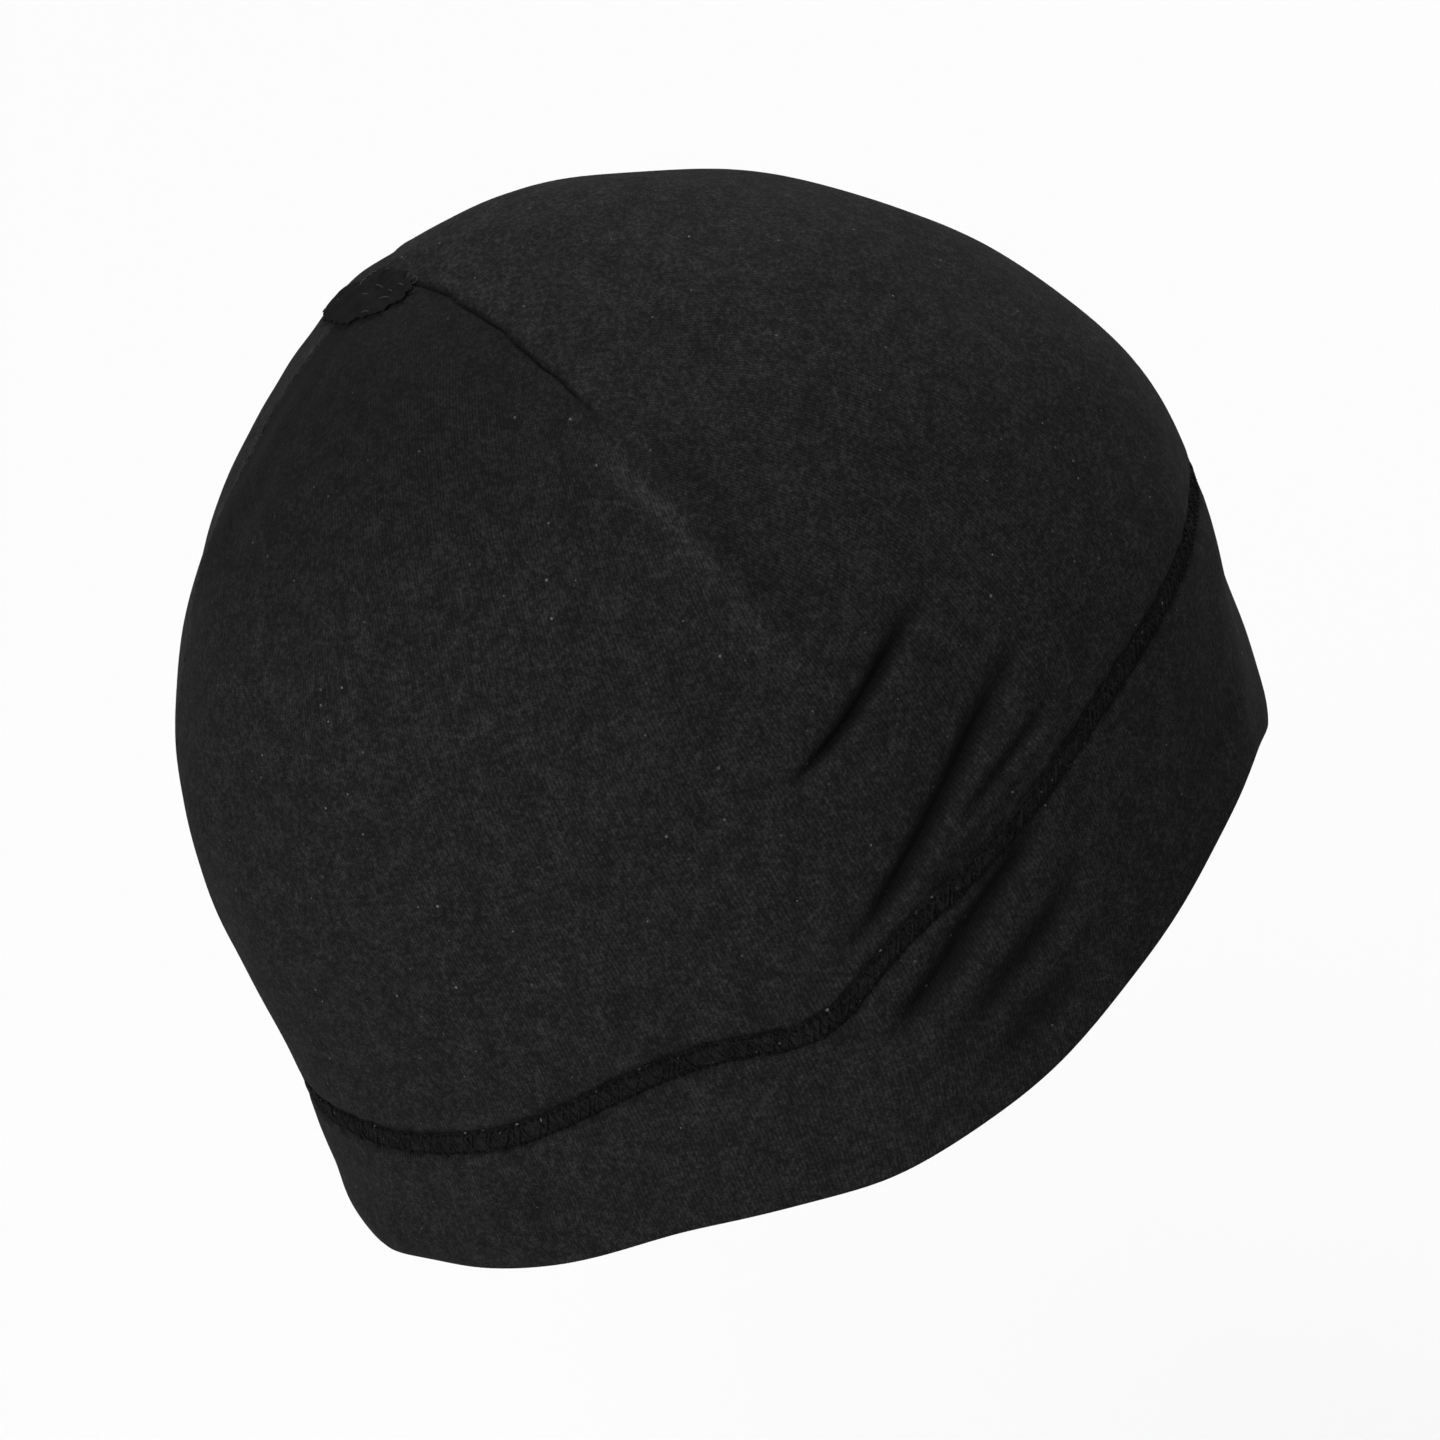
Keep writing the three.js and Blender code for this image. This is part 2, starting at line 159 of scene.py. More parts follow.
def puffRise(degrees, level):
    # a bump round the puff's middle, with distances measured from the tip along the bearings
    puff = capBody["puff"]
    turn = np.radians(turnBetween(puff["degrees"], degrees))
    fromTip = level * capBody["crownLevel"]
    away = np.hypot(fromTip * np.cos(turn) - puff["distance"], fromTip * np.sin(turn))
    return puff["height"] * bump(away, puff["halfWidth"])


def bodyPoint(degrees, level):
    # forward = side + cos * (front or back reach), height = cos^2 * front or back + sin^2 * side
    # + puff, out = half width * sin, then the whole cap is tilted back by the opening's angle
    angle = np.radians(degrees)
    ahead, aside = np.cos(angle), np.sin(angle)
    value = {name: curve(level) for name, curve in bodyCurves.items()}
    side = value["sideReach"]
    reach = np.where(ahead > 0, value["frontReach"] - side, side - value["backReach"])
    height = np.where(ahead > 0, value["frontHeight"], value["backHeight"])
    forward = side + ahead * reach
    up = ahead ** 2 * height + aside ** 2 * value["sideHeight"] + puffRise(degrees, level)
    tilt = math.radians(capBody["openingTilt"])
    return np.stack([
        -value["halfWidth"] * aside,
        -forward * math.cos(tilt) + up * math.sin(tilt),
        forward * math.sin(tilt) + up * math.cos(tilt),
    ], axis=-1)


def unit(vectors):
    # each vector divided by its length
    return vectors / np.linalg.norm(vectors, axis=-1, keepdims=True)


slopeStep = {"degrees": 0.5, "level": 0.02, "seamLevel": 0.05, "leastLevel": 0.05}


def bodyNormal(degrees, level):
    # the cross product of the slopes round and down the body
    at = np.maximum(level, slopeStep["leastLevel"])
    turn, drop = slopeStep["degrees"], slopeStep["level"]
    alongRound = bodyPoint(degrees + turn, at) - bodyPoint(degrees - turn, at)
    alongDown = bodyPoint(degrees, at + drop) - bodyPoint(degrees, at - drop)
    return unit(np.cross(alongRound, alongDown))


def flatPoint(degrees, level):
    # the cloth laid flat: millimetres round the girth and millimetres down from the tip
    along = np.radians(turnBetween(90, degrees)) * capBody["girthRadius"]
    first = capBody["bandFirst"]
    down = np.minimum(level, first) * capBody["crownLevel"]
    down = down + np.maximum(level - first, 0) * capBody["bandLevel"]
    return along, down


# Reliefs of the cloth: each gives how far the cloth moves out, in millimetres, and its painted
# shading, from 1, full painted shade as deep in a fold, to -1, full painted highlight.

tip = {
    "reach": {  # millimetres from the tip to the patch's edge, by bearing
        "degrees": [0, 22, 40, 52, 63, 75, 90, 104, 120, 136,
                    160, 184, 204, 220, 233, 242, 252, 265, 290, 325],
        "millimetres": [4.8, 6.2, 9, 10.4, 12.7, 12.4, 11.3, 11.3, 9.5, 9.3,
                        8.4, 8.8, 10.8, 13.6, 15.4, 11.5, 6.5, 4, 3.4, 3.9],
    },
    "notches": [  # depth as a share of the reach, notches in a turn, start
        (0.02, 9, 0.0),
        (0.028, 19, 1.0),
        (0.02, 34, 2.0),
        (0.014, 57, 0.6),
    ],
    "thickness": 0.5,  # in the middle of the patch
    "edgeThickness": 0.38,
    "lift": 0.2,  # the patch lies this far off the crown
    "pressedDepth": 0.2,  # the crown dips beside the patch's edge
    "pressedBeyond": 0.3,
    "pressedHalfWidth": 0.5,
    # painted shade in the dip
    "pressedShade": 0.45,
    "sway": [  # of the ribs: height, radians a millimetre ahead and aside, start
        (0.5, 0.8, 0.0, 0.0),
        (0.3, 1.7, 1.0, 0.0),
    ],
    "ribHeight": 0.05,  # overlock threads that cross the patch
    "ribSpacing": 0.95,
    "humps": [  # the same columns
        (0.09, 0.9, 0.7, 0.0),
        (0.07, 0.5, -1.1, 1.0),
    ],
    "edgeRings": [  # share of the reach, share of the edge's thickness
        (1.012, 0.75),
        (1.012, 0.35),
        (0.99, 0.0),
    ],
    "rows": 30,
    "rowsPerFloorRow": 4,  # the side on the crown has fewer rows
    "columns": 200,
}


def wrappedCurve(degrees, values):
    # a smooth curve round the cap: three points of each end are repeated beyond the other
    degrees, values = np.array(degrees, float), np.array(values, float)
    xs = np.concatenate([degrees[-3:] - 360, degrees, degrees[:3] + 360])
    ys = np.concatenate([values[-3:], values, values[:3]])
    curve = smoothCurve(xs, ys)
    return lambda bearing: curve(np.mod(np.asarray(bearing, float), 360))


tipOutline = wrappedCurve(tip["reach"]["degrees"], tip["reach"]["millimetres"])


def tipReach(degrees):
    # the patch's outline times one plus a sum of sines round the turn
    return tipOutline(degrees) * (1 + turnWaves(degrees, tip["notches"]))


def beyondTip(degrees, level):
    # millimetres outside the gathered patch's edge
    return level * capBody["crownLevel"] - tipReach(degrees)


def tipEdgeRelief(degrees, level):
    # a narrow dip just outside the gathered patch, with painted shade in it
    dip = bump(beyondTip(degrees, level) - tip["pressedBeyond"], tip["pressedHalfWidth"])
    return -tip["pressedDepth"] * dip, tip["pressedShade"] * dip


def distanceAcross(lineDegrees, degrees, level):
    # the turn from the line, in radians, times the half width of the body at that level
    return np.radians(turnBetween(lineDegrees, degrees)) * bodyCurves["halfWidth"](level)


darts = {
    "lines": {
        "degrees": [78, 282],
        "bend": [38, -38],  # degrees that the dart has turned away at the tip
        "stitchEnd": [3.5, 3.4],  # levels from the tip
        "ridgeEnd": [6.7, 6.5],
        "depth": [1.0, 0.95],
        "step": [0.32, 0.3],  # how far the front panel stands above the rear one
        "ridge": [1.15, 0.9],
        "rearward": [1, -1],  # which way round the back lies
    },
    "bendLevels": 0.9,
    "wander": [  # millimetres, wavelength in levels, start
        (0.22, 0.83, 0.5),
        (0.14, 0.37, 2.0),
    ],
    "start": (-1.0, 2.5),  # millimetres beyond the gathered patch
    "stitchFade": 0.9,  # levels over which the stitching dies away
    "forward": 1.0,  # the groove shows this far in front of the dart's line
    "grooveHalfWidth": 0.44,
    # painted shade in the stitched groove
    "grooveShade": 0.85,
    "stepHalfWidth": 0.9,
    "stepReach": 5.0,
    "ridgeRise": (-0.6, 0.5),  # levels after the stitching where the ridge rises
    "ridgeFall": 1.6,  # and where it begins to die away
    "ridgeBehind": 4.7,  # the ridge lies this far behind the dart's line
    "ridgeHalfWidth": 4.0,
    "paintedHighlight": 1.0,  # painted highlight along the ridge
    "paintedHighlightHalfWidth": 2.0,
    "flat": 0.2,  # painted shade in front of it
    "flatBehind": -2.5,
    "flatHalfWidth": 5.5,
    "turned": 0.6,  # painted shade on the panel behind the stitched part
    "paintedFrom": (0, 1),  # millimetres beyond the gathered patch
    "paintedShadeEnd": (1.6, 4.6),
    "paintedShadeHalfWidth": 0.5,  # how sharply the painted shade begins at the dart
    "paintedShadeDegrees": 102.5,  # as far as the back seam
}


def dartRelief(degrees, level):
    # a dart is a narrow groove while it is stitched, where the front panel stands a step above the
    # rear one, and then a low ridge; painted shade lies in the groove, behind the stitched part and in
    # front of the ridge, and a painted highlight along the ridge
    beyond = beyondTip(degrees, level)
    started = rise(beyond, *darts["start"])
    relief, paintedShading = 0, 0
    for dart in rows(darts["lines"]):
        end = dart["stitchEnd"]
        line = dart["degrees"] - dart["bend"] * np.exp(-level / darts["bendLevels"])
        wander = sum(size * np.sin(2 * np.pi * level / length + start)
                     for size, length, start in darts["wander"])
        behind = distanceAcross(line, degrees, level) * dart["rearward"] + darts["forward"] + wander
        stitched = started * (1 - rise(level, end - darts["stitchFade"], end))
        groove = stitched * bump(behind, darts["grooveHalfWidth"])
        inFront = 1 - 2 * rise(behind, -darts["stepHalfWidth"], darts["stepHalfWidth"])
        step = stitched * inFront * np.exp(-np.abs(behind) / darts["stepReach"])
        ridged = rise(level, end + darts["ridgeRise"][0], end + darts["ridgeRise"][1])
        ridged = ridged * (1 - rise(level, end + darts["ridgeFall"], dart["ridgeEnd"]))
        fromRidge = behind - darts["ridgeBehind"]
        ridge = ridged * bump(fromRidge, darts["ridgeHalfWidth"])
        paintedHighlight = darts["paintedHighlight"] * bump(fromRidge, darts["paintedHighlightHalfWidth"])
        flat = darts["flat"] * bump(behind - darts["flatBehind"], darts["flatHalfWidth"])
        # painted shade on the panel behind the stitched part, as far as the back seam
        turned = rise(behind, -darts["paintedShadeHalfWidth"], darts["paintedShadeHalfWidth"])
        turned = turned * rise(beyond, *darts["paintedFrom"]) * (1 - rise(level, *darts["paintedShadeEnd"]))
        turned = turned * (np.abs(turnBetween(dart["degrees"], degrees)) < darts["paintedShadeDegrees"])
        relief = relief - dart["depth"] * groove + dart["step"] * step + dart["ridge"] * ridge
        # painted shade in the groove and in front of the ridge, painted highlight along the ridge
        paintedShading = paintedShading + darts["grooveShade"] * groove + ridged * (flat - paintedHighlight)
        paintedShading = paintedShading + darts["turned"] * turned
    return relief, paintedShading


backSeam = {
    "degrees": 180,
    "depth": 0.8,
    # painted shade in the groove
    "shade": 0.4,
    "end": (8.0, 8.8),  # levels
    "paintedHighlight": 1.3,  # painted highlight on the far side of the seam
    "flat": 0.8,  # painted shade on the near side
    "paintedSplit": (-0.2, 0.8),
    "paintedReach": 7.0,
    "paintedEnd": (2.8, 6.0),
}


def backSeamRelief(degrees, level):
    # a narrow groove down the middle of the back, with painted shade in it, painted shade on its near
    # side and a painted highlight on its far side
    beyond = beyondTip(degrees, level)
    sewn = rise(beyond, *darts["start"]) * (1 - rise(level, *backSeam["end"]))
    fromSeam = distanceAcross(backSeam["degrees"], degrees, level)
    groove = sewn * bump(fromSeam, darts["grooveHalfWidth"])
    # near the tip: painted shade on the near side of the seam, painted highlight on the far side
    paintedFade = rise(beyond, *darts["paintedFrom"]) * (1 - rise(level, *backSeam["paintedEnd"]))
    paintedFade = paintedFade * np.exp(-np.abs(fromSeam) / backSeam["paintedReach"])
    farSide = rise(fromSeam, *backSeam["paintedSplit"])
    paintedLightAndShade = paintedFade * (backSeam["flat"] * (1 - farSide) - backSeam["paintedHighlight"] * farSide)
    return -backSeam["depth"] * groove, backSeam["shade"] * groove + paintedLightAndShade


folds = {
    "lines": {  # on the wearer's right, from the front end to the rear end
        "fromDegrees": [60, 55, 55, 63, 60, 59, 117, 22, -4, 60],
        "fromLevel": [6.32, 7.24, 7.84, 8.62, 9.42, 11.12, 10.95, 10.75, 10.9, 8.2],
        "toDegrees": [89, 93, 77, 92, 86, 86, 150, 52, 32, 86],
        "toLevel": [7.0, 8.66, 8.28, 10.1, 10.85, 11.75, 10.25, 10.45, 10.9, 8.52],
        "bow": [-0.5, 0.6, 0.5, 0.4, -1.1, 1.5, 2, 0, 0, 0],
        "sway": [0.75, 0.35, -0.3, 0.3, -0.3, 0, 0, 0, 0, 0.2],
        "frontWidth": [3.4, 3.2, 2.2, 3.2, 3.8, 4.2, 3.4, 3.2, 3.4, 2.2],
        "rearWidth": [1.1, 2.0, 1.6, 3.0, 3.2, 4.4, 3.0, 3.2, 3.4, 2.0],
        "lowerShare": [0.5, 0.6, 0.7, 0.7, 0.8, 0.9, 0.9, 1.0, 1.0, 0.8],
        "frontFade": [0.45, 0.35, 0.4, 0.3, 0.4, 0.5, 0.5, 0.5, 0.5, 0.3],
        "rearFade": [0.3, 0.3, 0.4, 0.3, 0.4, 0.5, 0.5, 0.5, 0.5, 0.3],
        "depth": [3.3, 3.3, 1.9, 3.2, 2.2, 1.7, 0.8, 0.9, 0, 1.0],
        "lip": [0.45, 0.6, 0.3, 0.5, 0.4, 0.4, 0.4, 0, 1.3, 0.1],
    },
    "lipOffset": 2.1,
    "lipWidth": 1.3,
    "deepest": 2.6,  # a valley this deep gets the full painted shade
}


def foldRelief(degrees, level):
    # each fold: a valley along a bowed line, long on its upper side and short on its lower one,
    # with a rolled lip below and painted shade in the valley; its width runs from the front end's to the
    # rear end's
    along, down = flatPoint(degrees, level)
    relief, paintedShading = 0, 0
    for fold in rows(folds["lines"]):
        startAlong, startDown = flatPoint(fold["fromDegrees"], fold["fromLevel"])
        endAlong, endDown = flatPoint(fold["toDegrees"], fold["toLevel"])
        runAlong, runDown = endAlong - startAlong, endDown - startDown
        length = math.hypot(runAlong, runDown)
        stepAlong, stepDown = along - startAlong, down - startDown
        share = np.clip((stepAlong * runAlong + stepDown * runDown) / length ** 2, 0, 1)
        bowed = fold["bow"] * 4 * share * (1 - share) + fold["sway"] * np.sin(2 * np.pi * share)
        below = (runAlong * stepDown - runDown * stepAlong) / length + bowed
        fade = rise(share, 0, fold["frontFade"]) * (1 - rise(share, 1 - fold["rearFade"], 1))
        upper = fold["frontWidth"] + (fold["rearWidth"] - fold["frontWidth"]) * share
        lower = upper * fold["lowerShare"]
        valley = fade * bump(below, np.where(below < 0, upper, lower))
        lip = fade * bump(below - folds["lipOffset"] * upper, folds["lipWidth"] * upper)
        relief = relief - fold["depth"] * valley + fold["lip"] * lip
        # painted shade in the valley, deeper folds darker
        paintedShading = paintedShading + fold["depth"] / folds["deepest"] * valley
    return relief, paintedShading


unevenness = {
    "waves": [  # height, wavelength round, wavelength down, start
        (0.22, 61.0, 47.0, 0.4),
        (0.18, -38.0, 55.0, 1.9),
        (0.12, 27.0, -33.0, 3.1),
    ],
    "start": (0.5, 2.5),  # levels
}


def unevenRelief(degrees, level):
    # long low waves over the flat cloth, which begin a little below the tip
    height = waves(*flatPoint(degrees, level), unevenness["waves"])
    return height * rise(level, *unevenness["start"]), 0


def clothRelief(degrees, level):
    # all the reliefs and their painted shading added up
    reliefs = (dartRelief, backSeamRelief, foldRelief, tipEdgeRelief, unevenRelief)
    out, paintedShading = (sum(part) for part in zip(*(relief(degrees, level) for relief in reliefs)))
    return out, np.clip(paintedShading, -1, 1)


def clothPoint(degrees, level, depth):
    # the body, moved out by the relief and in by the depth
    out = clothRelief(degrees, level)[0] - depth
    return bodyPoint(degrees, level) + bodyNormal(degrees, level) * out[..., None]


seamPulls = {
    "frontShare": 0.8,  # the seam's width at the front, as a share of its full width
    "widens": (60, 125),  # degrees from the front
    "uneven": [  # share of the width, pulls in a turn, start
        (0.055, 61, 0.3),
        (0.055, 97, 1.7),
        (0.035, 143, 4.0),
    ],
    "bandShift": 3,  # degrees between the pulls of the crown's edge and the band's
    "shade": 0.7,  # painted shade of the rolled edges beside the seam
    "leastShade": 0.2,
    "dashes": [  # share of the painted shade, dashes in a turn, start
        (0.28, 83, 0.9),
        (0.25, 117, 2.2),
    ],
}


def seamSpread(degrees):
    # a share of the seam's full width: less towards the front, and uneven from pull to pull
    fromFront = np.abs(turnBetween(0, np.asarray(degrees, float)))
    front = seamPulls["frontShare"]
    share = front + (1 - front) * rise(fromFront, *seamPulls["widens"])
    return share + turnWaves(degrees, seamPulls["uneven"])


def edgeShade(degrees):
    # painted shade on the rolled edges beside the seam, in uneven dashes
    shade = seamPulls["shade"] + turnWaves(degrees, seamPulls["dashes"])
    return np.clip(shade, seamPulls["leastShade"], 1)


def levelBelowSeam(degrees, millimetres):
    # the seam's level plus the distance divided by the length of a level there
    level, drop = seamLevel(degrees), slopeStep["seamLevel"]
    step = bodyPoint(degrees, level + drop) - bodyPoint(degrees, level - drop)
    return level + millimetres * 2 * drop / np.linalg.norm(step, axis=-1)


# Putting surfaces into meshes.

def evenSteps(zones):
    # even steps inside each zone; the zones are closer where the cloth is creased
    parts = [np.linspace(start, end, count, endpoint=False) for start, end, count in zones]
    return np.concatenate(parts)


def ringFaces(ringCount, columnCount, closedLoop):
    # quads between neighbouring rings of points, facing out when the rings run down the outside
    upper = np.arange(ringCount if closedLoop else ringCount - 1)[:, None]
    column = np.arange(columnCount)[None, :]
    lower = (upper + 1) % ringCount
    after = (column + 1) % columnCount
    corners = [upper * columnCount + column, upper * columnCount + after,
               lower * columnCount + after, lower * columnCount + column]
    return np.stack(np.broadcast_arrays(*corners), axis=-1).reshape(-1, 4)


def endFans(ringCount, columnCount):
    # triangles from two points, which come after the rings, to the first ring and to the last one
    here = np.arange(columnCount)
    after = np.roll(here, -1)
    pole = np.full(columnCount, ringCount * columnCount)
    last = (ringCount - 1) * columnCount
    return (np.stack([pole, after, here], axis=-1),
            np.stack([pole + 1, last + here, last + after], axis=-1))


def cornerBearings(quads, bearings):
    # each corner's bearing, where the first column is 360 degrees for the quads that close the ring
    column = quads % len(bearings)
    closing = (column == 0) & (column.max(axis=1, keepdims=True) > 1)
    return np.where(closing, 360.0, bearings[column])


def clothLayer(bearings, level, depth, rolled, edgeRoll):
    # one face of the cloth at a depth, and its painted shading: its edge rolls in and gets painted shade
    points = clothPoint(bearings[None, :], level, depth + edgeRoll * rolled)
    paintedShading = clothRelief(bearings[None, :], level)[1] + rolled * edgeShade(bearings)
    return points, np.clip(paintedShading, -1, 1)


def ringsAround(centres, up, sideways, radius, sides):
    # a circle about each centre: centre + radius * (cos * up + sin * sideways)
    turn = 2 * np.pi * np.arange(sides)[:, None] / sides
    circle = np.cos(turn) * up[..., None, :] + np.sin(turn) * sideways[..., None, :]
    return centres[..., None, :] + np.asarray(radius)[..., None, None] * circle


def alongPath(path, closed):
    # the direction at each point of a path, from the point before it to the one after it
    if closed:
        return unit(np.roll(path, -1, axis=0) - np.roll(path, 1, axis=0))
    return unit(np.gradient(path, axis=0))


def tubeCaps(ringCount, sides):
    # the faces that close the first and the last ring of a tube
    last = (ringCount - 1) * sides
    return np.array([range(sides - 1, -1, -1), range(last, last + sides)])


def place(name, data):
    # a mesh, a lamp or a camera as an object of the scene
    thing = bpy.data.objects.new(name, data)
    bpy.context.scene.collection.objects.link(thing)
    return thing


def makePiece(name, points, faces, material, cornerUv=None, paintedShading=None):
    # the surface as a smooth mesh in metres, with its material and body
    mesh = bpy.data.meshes.new(name)
    mesh.from_pydata((points * metresPerMillimetre).tolist(), [], faces)
    # cloth has a UV map in millimetres for the knit, and its painted shade and highlight at each point
    if cornerUv is not None:
        layer = mesh.uv_layers.new(name="cloth")
        layer.data.foreach_set("uv", np.ascontiguousarray(cornerUv, dtype=np.float32).ravel())
    if paintedShading is not None:
        shading = mesh.attributes.new("paintedShading", "FLOAT", "POINT")
        shading.data.foreach_set("value", np.ascontiguousarray(paintedShading, dtype=np.float32))
    mesh.validate()
    mesh.polygons.foreach_set("use_smooth", np.ones(len(mesh.polygons), dtype=bool))
    mesh.update()
    piece = place(name, mesh)
    mesh.materials.append(material)
    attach(piece, "root")
    print(name, len(mesh.polygons), "faces")
    return piece


# Materials.

def addGroup(name, output, inputs):
    # a node group that gives one number; its inputs are vectors, or numbers where they have a value
    group = bpy.data.node_groups.new(name, "ShaderNodeTree")
    for socketName, value in inputs.items():
        kind = "NodeSocketVector" if value is None else "NodeSocketFloat"
        socket = group.interface.new_socket(name=socketName, in_out="INPUT", socket_type=kind)
        if value is not None:
            socket.default_value = value
    group.interface.new_socket(name=output, in_out="OUTPUT", socket_type="NodeSocketFloat")
    given, result = group.nodes.new("NodeGroupInput"), group.nodes.new("NodeGroupOutput")
    return group, given.outputs, result.inputs


def feed(tree, socket, value):
    # links another node's output to the socket, or sets a number or a colour on it
    if isinstance(value, bpy.types.NodeSocket):
        tree.links.new(value, socket)
    else:
        socket.default_value = value


def feedAll(tree, node, values):
    # feeds the node's sockets, by name or by number
    for socket, value in values.items():
        feed(tree, node.inputs[socket], value)


def addNode(tree, kind, values):
    # a new shader node with its sockets fed; gives back its outputs
    node = tree.nodes.new("ShaderNode" + kind)
    feedAll(tree, node, values)
    return node.outputs


def mathNode(tree, operation, *values):
    # one Math node; each value is a number or another node's output
    node = tree.nodes.new("ShaderNodeMath")
    node.operation = operation
    for socket, value in zip(node.inputs, values):
        feed(tree, socket, value)
    return node.outputs[0]


def weightedSum(tree, first, firstShare, second, secondShare):
    # each value times its share, added up
    return mathNode(tree, "ADD", mathNode(tree, "MULTIPLY", first, firstShare),
                    mathNode(tree, "MULTIPLY", second, secondShare))


def knitGroup():
    # ribs of V-shaped loops: columns one wale apart, rows one course apart, slanted each way
    slant, loopShare, ribShare, middle = 1.1, 0.3, 0.5, 0.5
    group, given, result = addGroup("knit loops", "Height", {
        "Cloth": None, "Wale": 0.62, "Course": 0.48})
    cloth = addNode(group, "SeparateXYZ", {0: given["Cloth"]})
    wale = mathNode(group, "DIVIDE", cloth["X"], given["Wale"])
    course = mathNode(group, "DIVIDE", cloth["Y"], given["Course"])
    inWale = mathNode(group, "SUBTRACT", mathNode(group, "FRACT", wale), 0.5)
    fromMiddle = mathNode(group, "ABSOLUTE", inWale)
    slanted = mathNode(group, "ADD", course, mathNode(group, "MULTIPLY", fromMiddle, slant))
    loop = mathNode(group, "SINE", mathNode(group, "MULTIPLY", slanted, 2 * math.pi))
    rib = mathNode(group, "COSINE", mathNode(group, "MULTIPLY", inWale, 2 * math.pi))
    height = weightedSum(group, loop, loopShare, rib, ribShare)
    group.links.new(mathNode(group, "ADD", height, middle), result["Height"])
    return group


def fuzzGroup():
    # three sizes of noise, each stretched to run from 0 to 1 about its middle, then added up:
    # stray fibres, loops that stand proud, and slow patches
    group, given, result = addGroup("jersey fuzz", "Mottle", {
        "Vector": None, "Fibre Scale": 2400.0, "Tuft Scale": 1100.0, "Patch Scale": 240.0})
    total = 0.0
    for share, scale in ((0.4, "Fibre Scale"), (0.4, "Tuft Scale"), (0.2, "Patch Scale")):
        noise = addNode(group, "TexNoise", {
            "Vector": given["Vector"], "Scale": given[scale], "Detail": 1.0})
        spread = addNode(group, "MapRange", {"Value": noise["Fac"], "From Min": 0.3, "From Max": 0.7})
        total = mathNode(group, "ADD", total, mathNode(group, "MULTIPLY", spread[0], share))
    group.links.new(total, result["Mottle"])
    return group


def lintGroup():
    # small specks: the middles of scattered cells; a cell's three chance numbers say whether its
    # speck is kept, how large it is and how bright
    smallest, dimmest, dimming = 0.35, 0.08, 2.5
    group, given, result = addGroup("lint specks", "Mask", {
        "Vector": None, "Spacing Scale": 110.0, "Speck Size": 0.035, "Share": 0.3})
    cells = addNode(group, "TexVoronoi", {
        "Vector": given["Vector"], "Scale": given["Spacing Scale"], "Randomness": 1.0})
    chance = addNode(group, "SeparateColor", {0: cells["Color"]})
    size = mathNode(group, "ADD", chance[1], smallest)
    size = mathNode(group, "MULTIPLY", size, given["Speck Size"])
    near = mathNode(group, "LESS_THAN", cells["Distance"], size)
    kept = mathNode(group, "LESS_THAN", chance[0], given["Share"])
    bright = mathNode(group, "ADD", mathNode(group, "POWER", chance[2], dimming), dimmest)
    speck = mathNode(group, "MULTIPLY", near, kept)
    group.links.new(mathNode(group, "MULTIPLY", speck, bright), result["Mask"])
    return group


knitLoops = knitGroup()
jerseyFuzz = fuzzGroup()
lintSpecks = lintGroup()


def useGroup(tree, group, values):
    # places the group and feeds its sockets
    node = tree.nodes.new("ShaderNodeGroup")
    node.node_tree = group
    feedAll(tree, node, values)
    return node.outputs[0]


def mixColour(tree, factor, first, second):
    # from the first colour to the second; inputs 0, 6 and 7 are the factor and the two colours
    node = tree.nodes.new("ShaderNodeMix")
    node.data_type = "RGBA"
    feedAll(tree, node, {0: factor, 6: first, 7: second})
    return node.outputs[2]


def grey(level):
    # a colour with the same red, green and blue
    return (level, level, level, 1.0)


def startMaterial(name, look):
    # the shader's constant values, the place on the piece and the fuzz that every cloth has
    material = bpy.data.materials.new(name)
    material.use_nodes = True
    tree = material.node_tree
    shader = tree.nodes["Principled BSDF"]
    feedAll(tree, shader, {
        "Roughness": look["roughness"], "Specular IOR Level": look["specular"],
        "Sheen Weight": look["sheen"], "Sheen Roughness": look["sheenRoughness"]})
    spot = addNode(tree, "TexCoord", {})["Object"]
    mottle = useGroup(tree, jerseyFuzz, {
        "Vector": spot, "Fibre Scale": look["fibreScale"], "Tuft Scale": look["tuftScale"]})
    return material, tree, shader, spot, mottle


def addSurface(tree, shader, colour, height, look):
    # the colour, and the height as a fine relief, in metres
    relief = addNode(tree, "Bump", {
        "Strength": look["bumpStrength"], "Distance": look["bumpDistance"], "Height": height})
    feedAll(tree, shader, {"Base Color": colour, "Normal": relief["Normal"]})


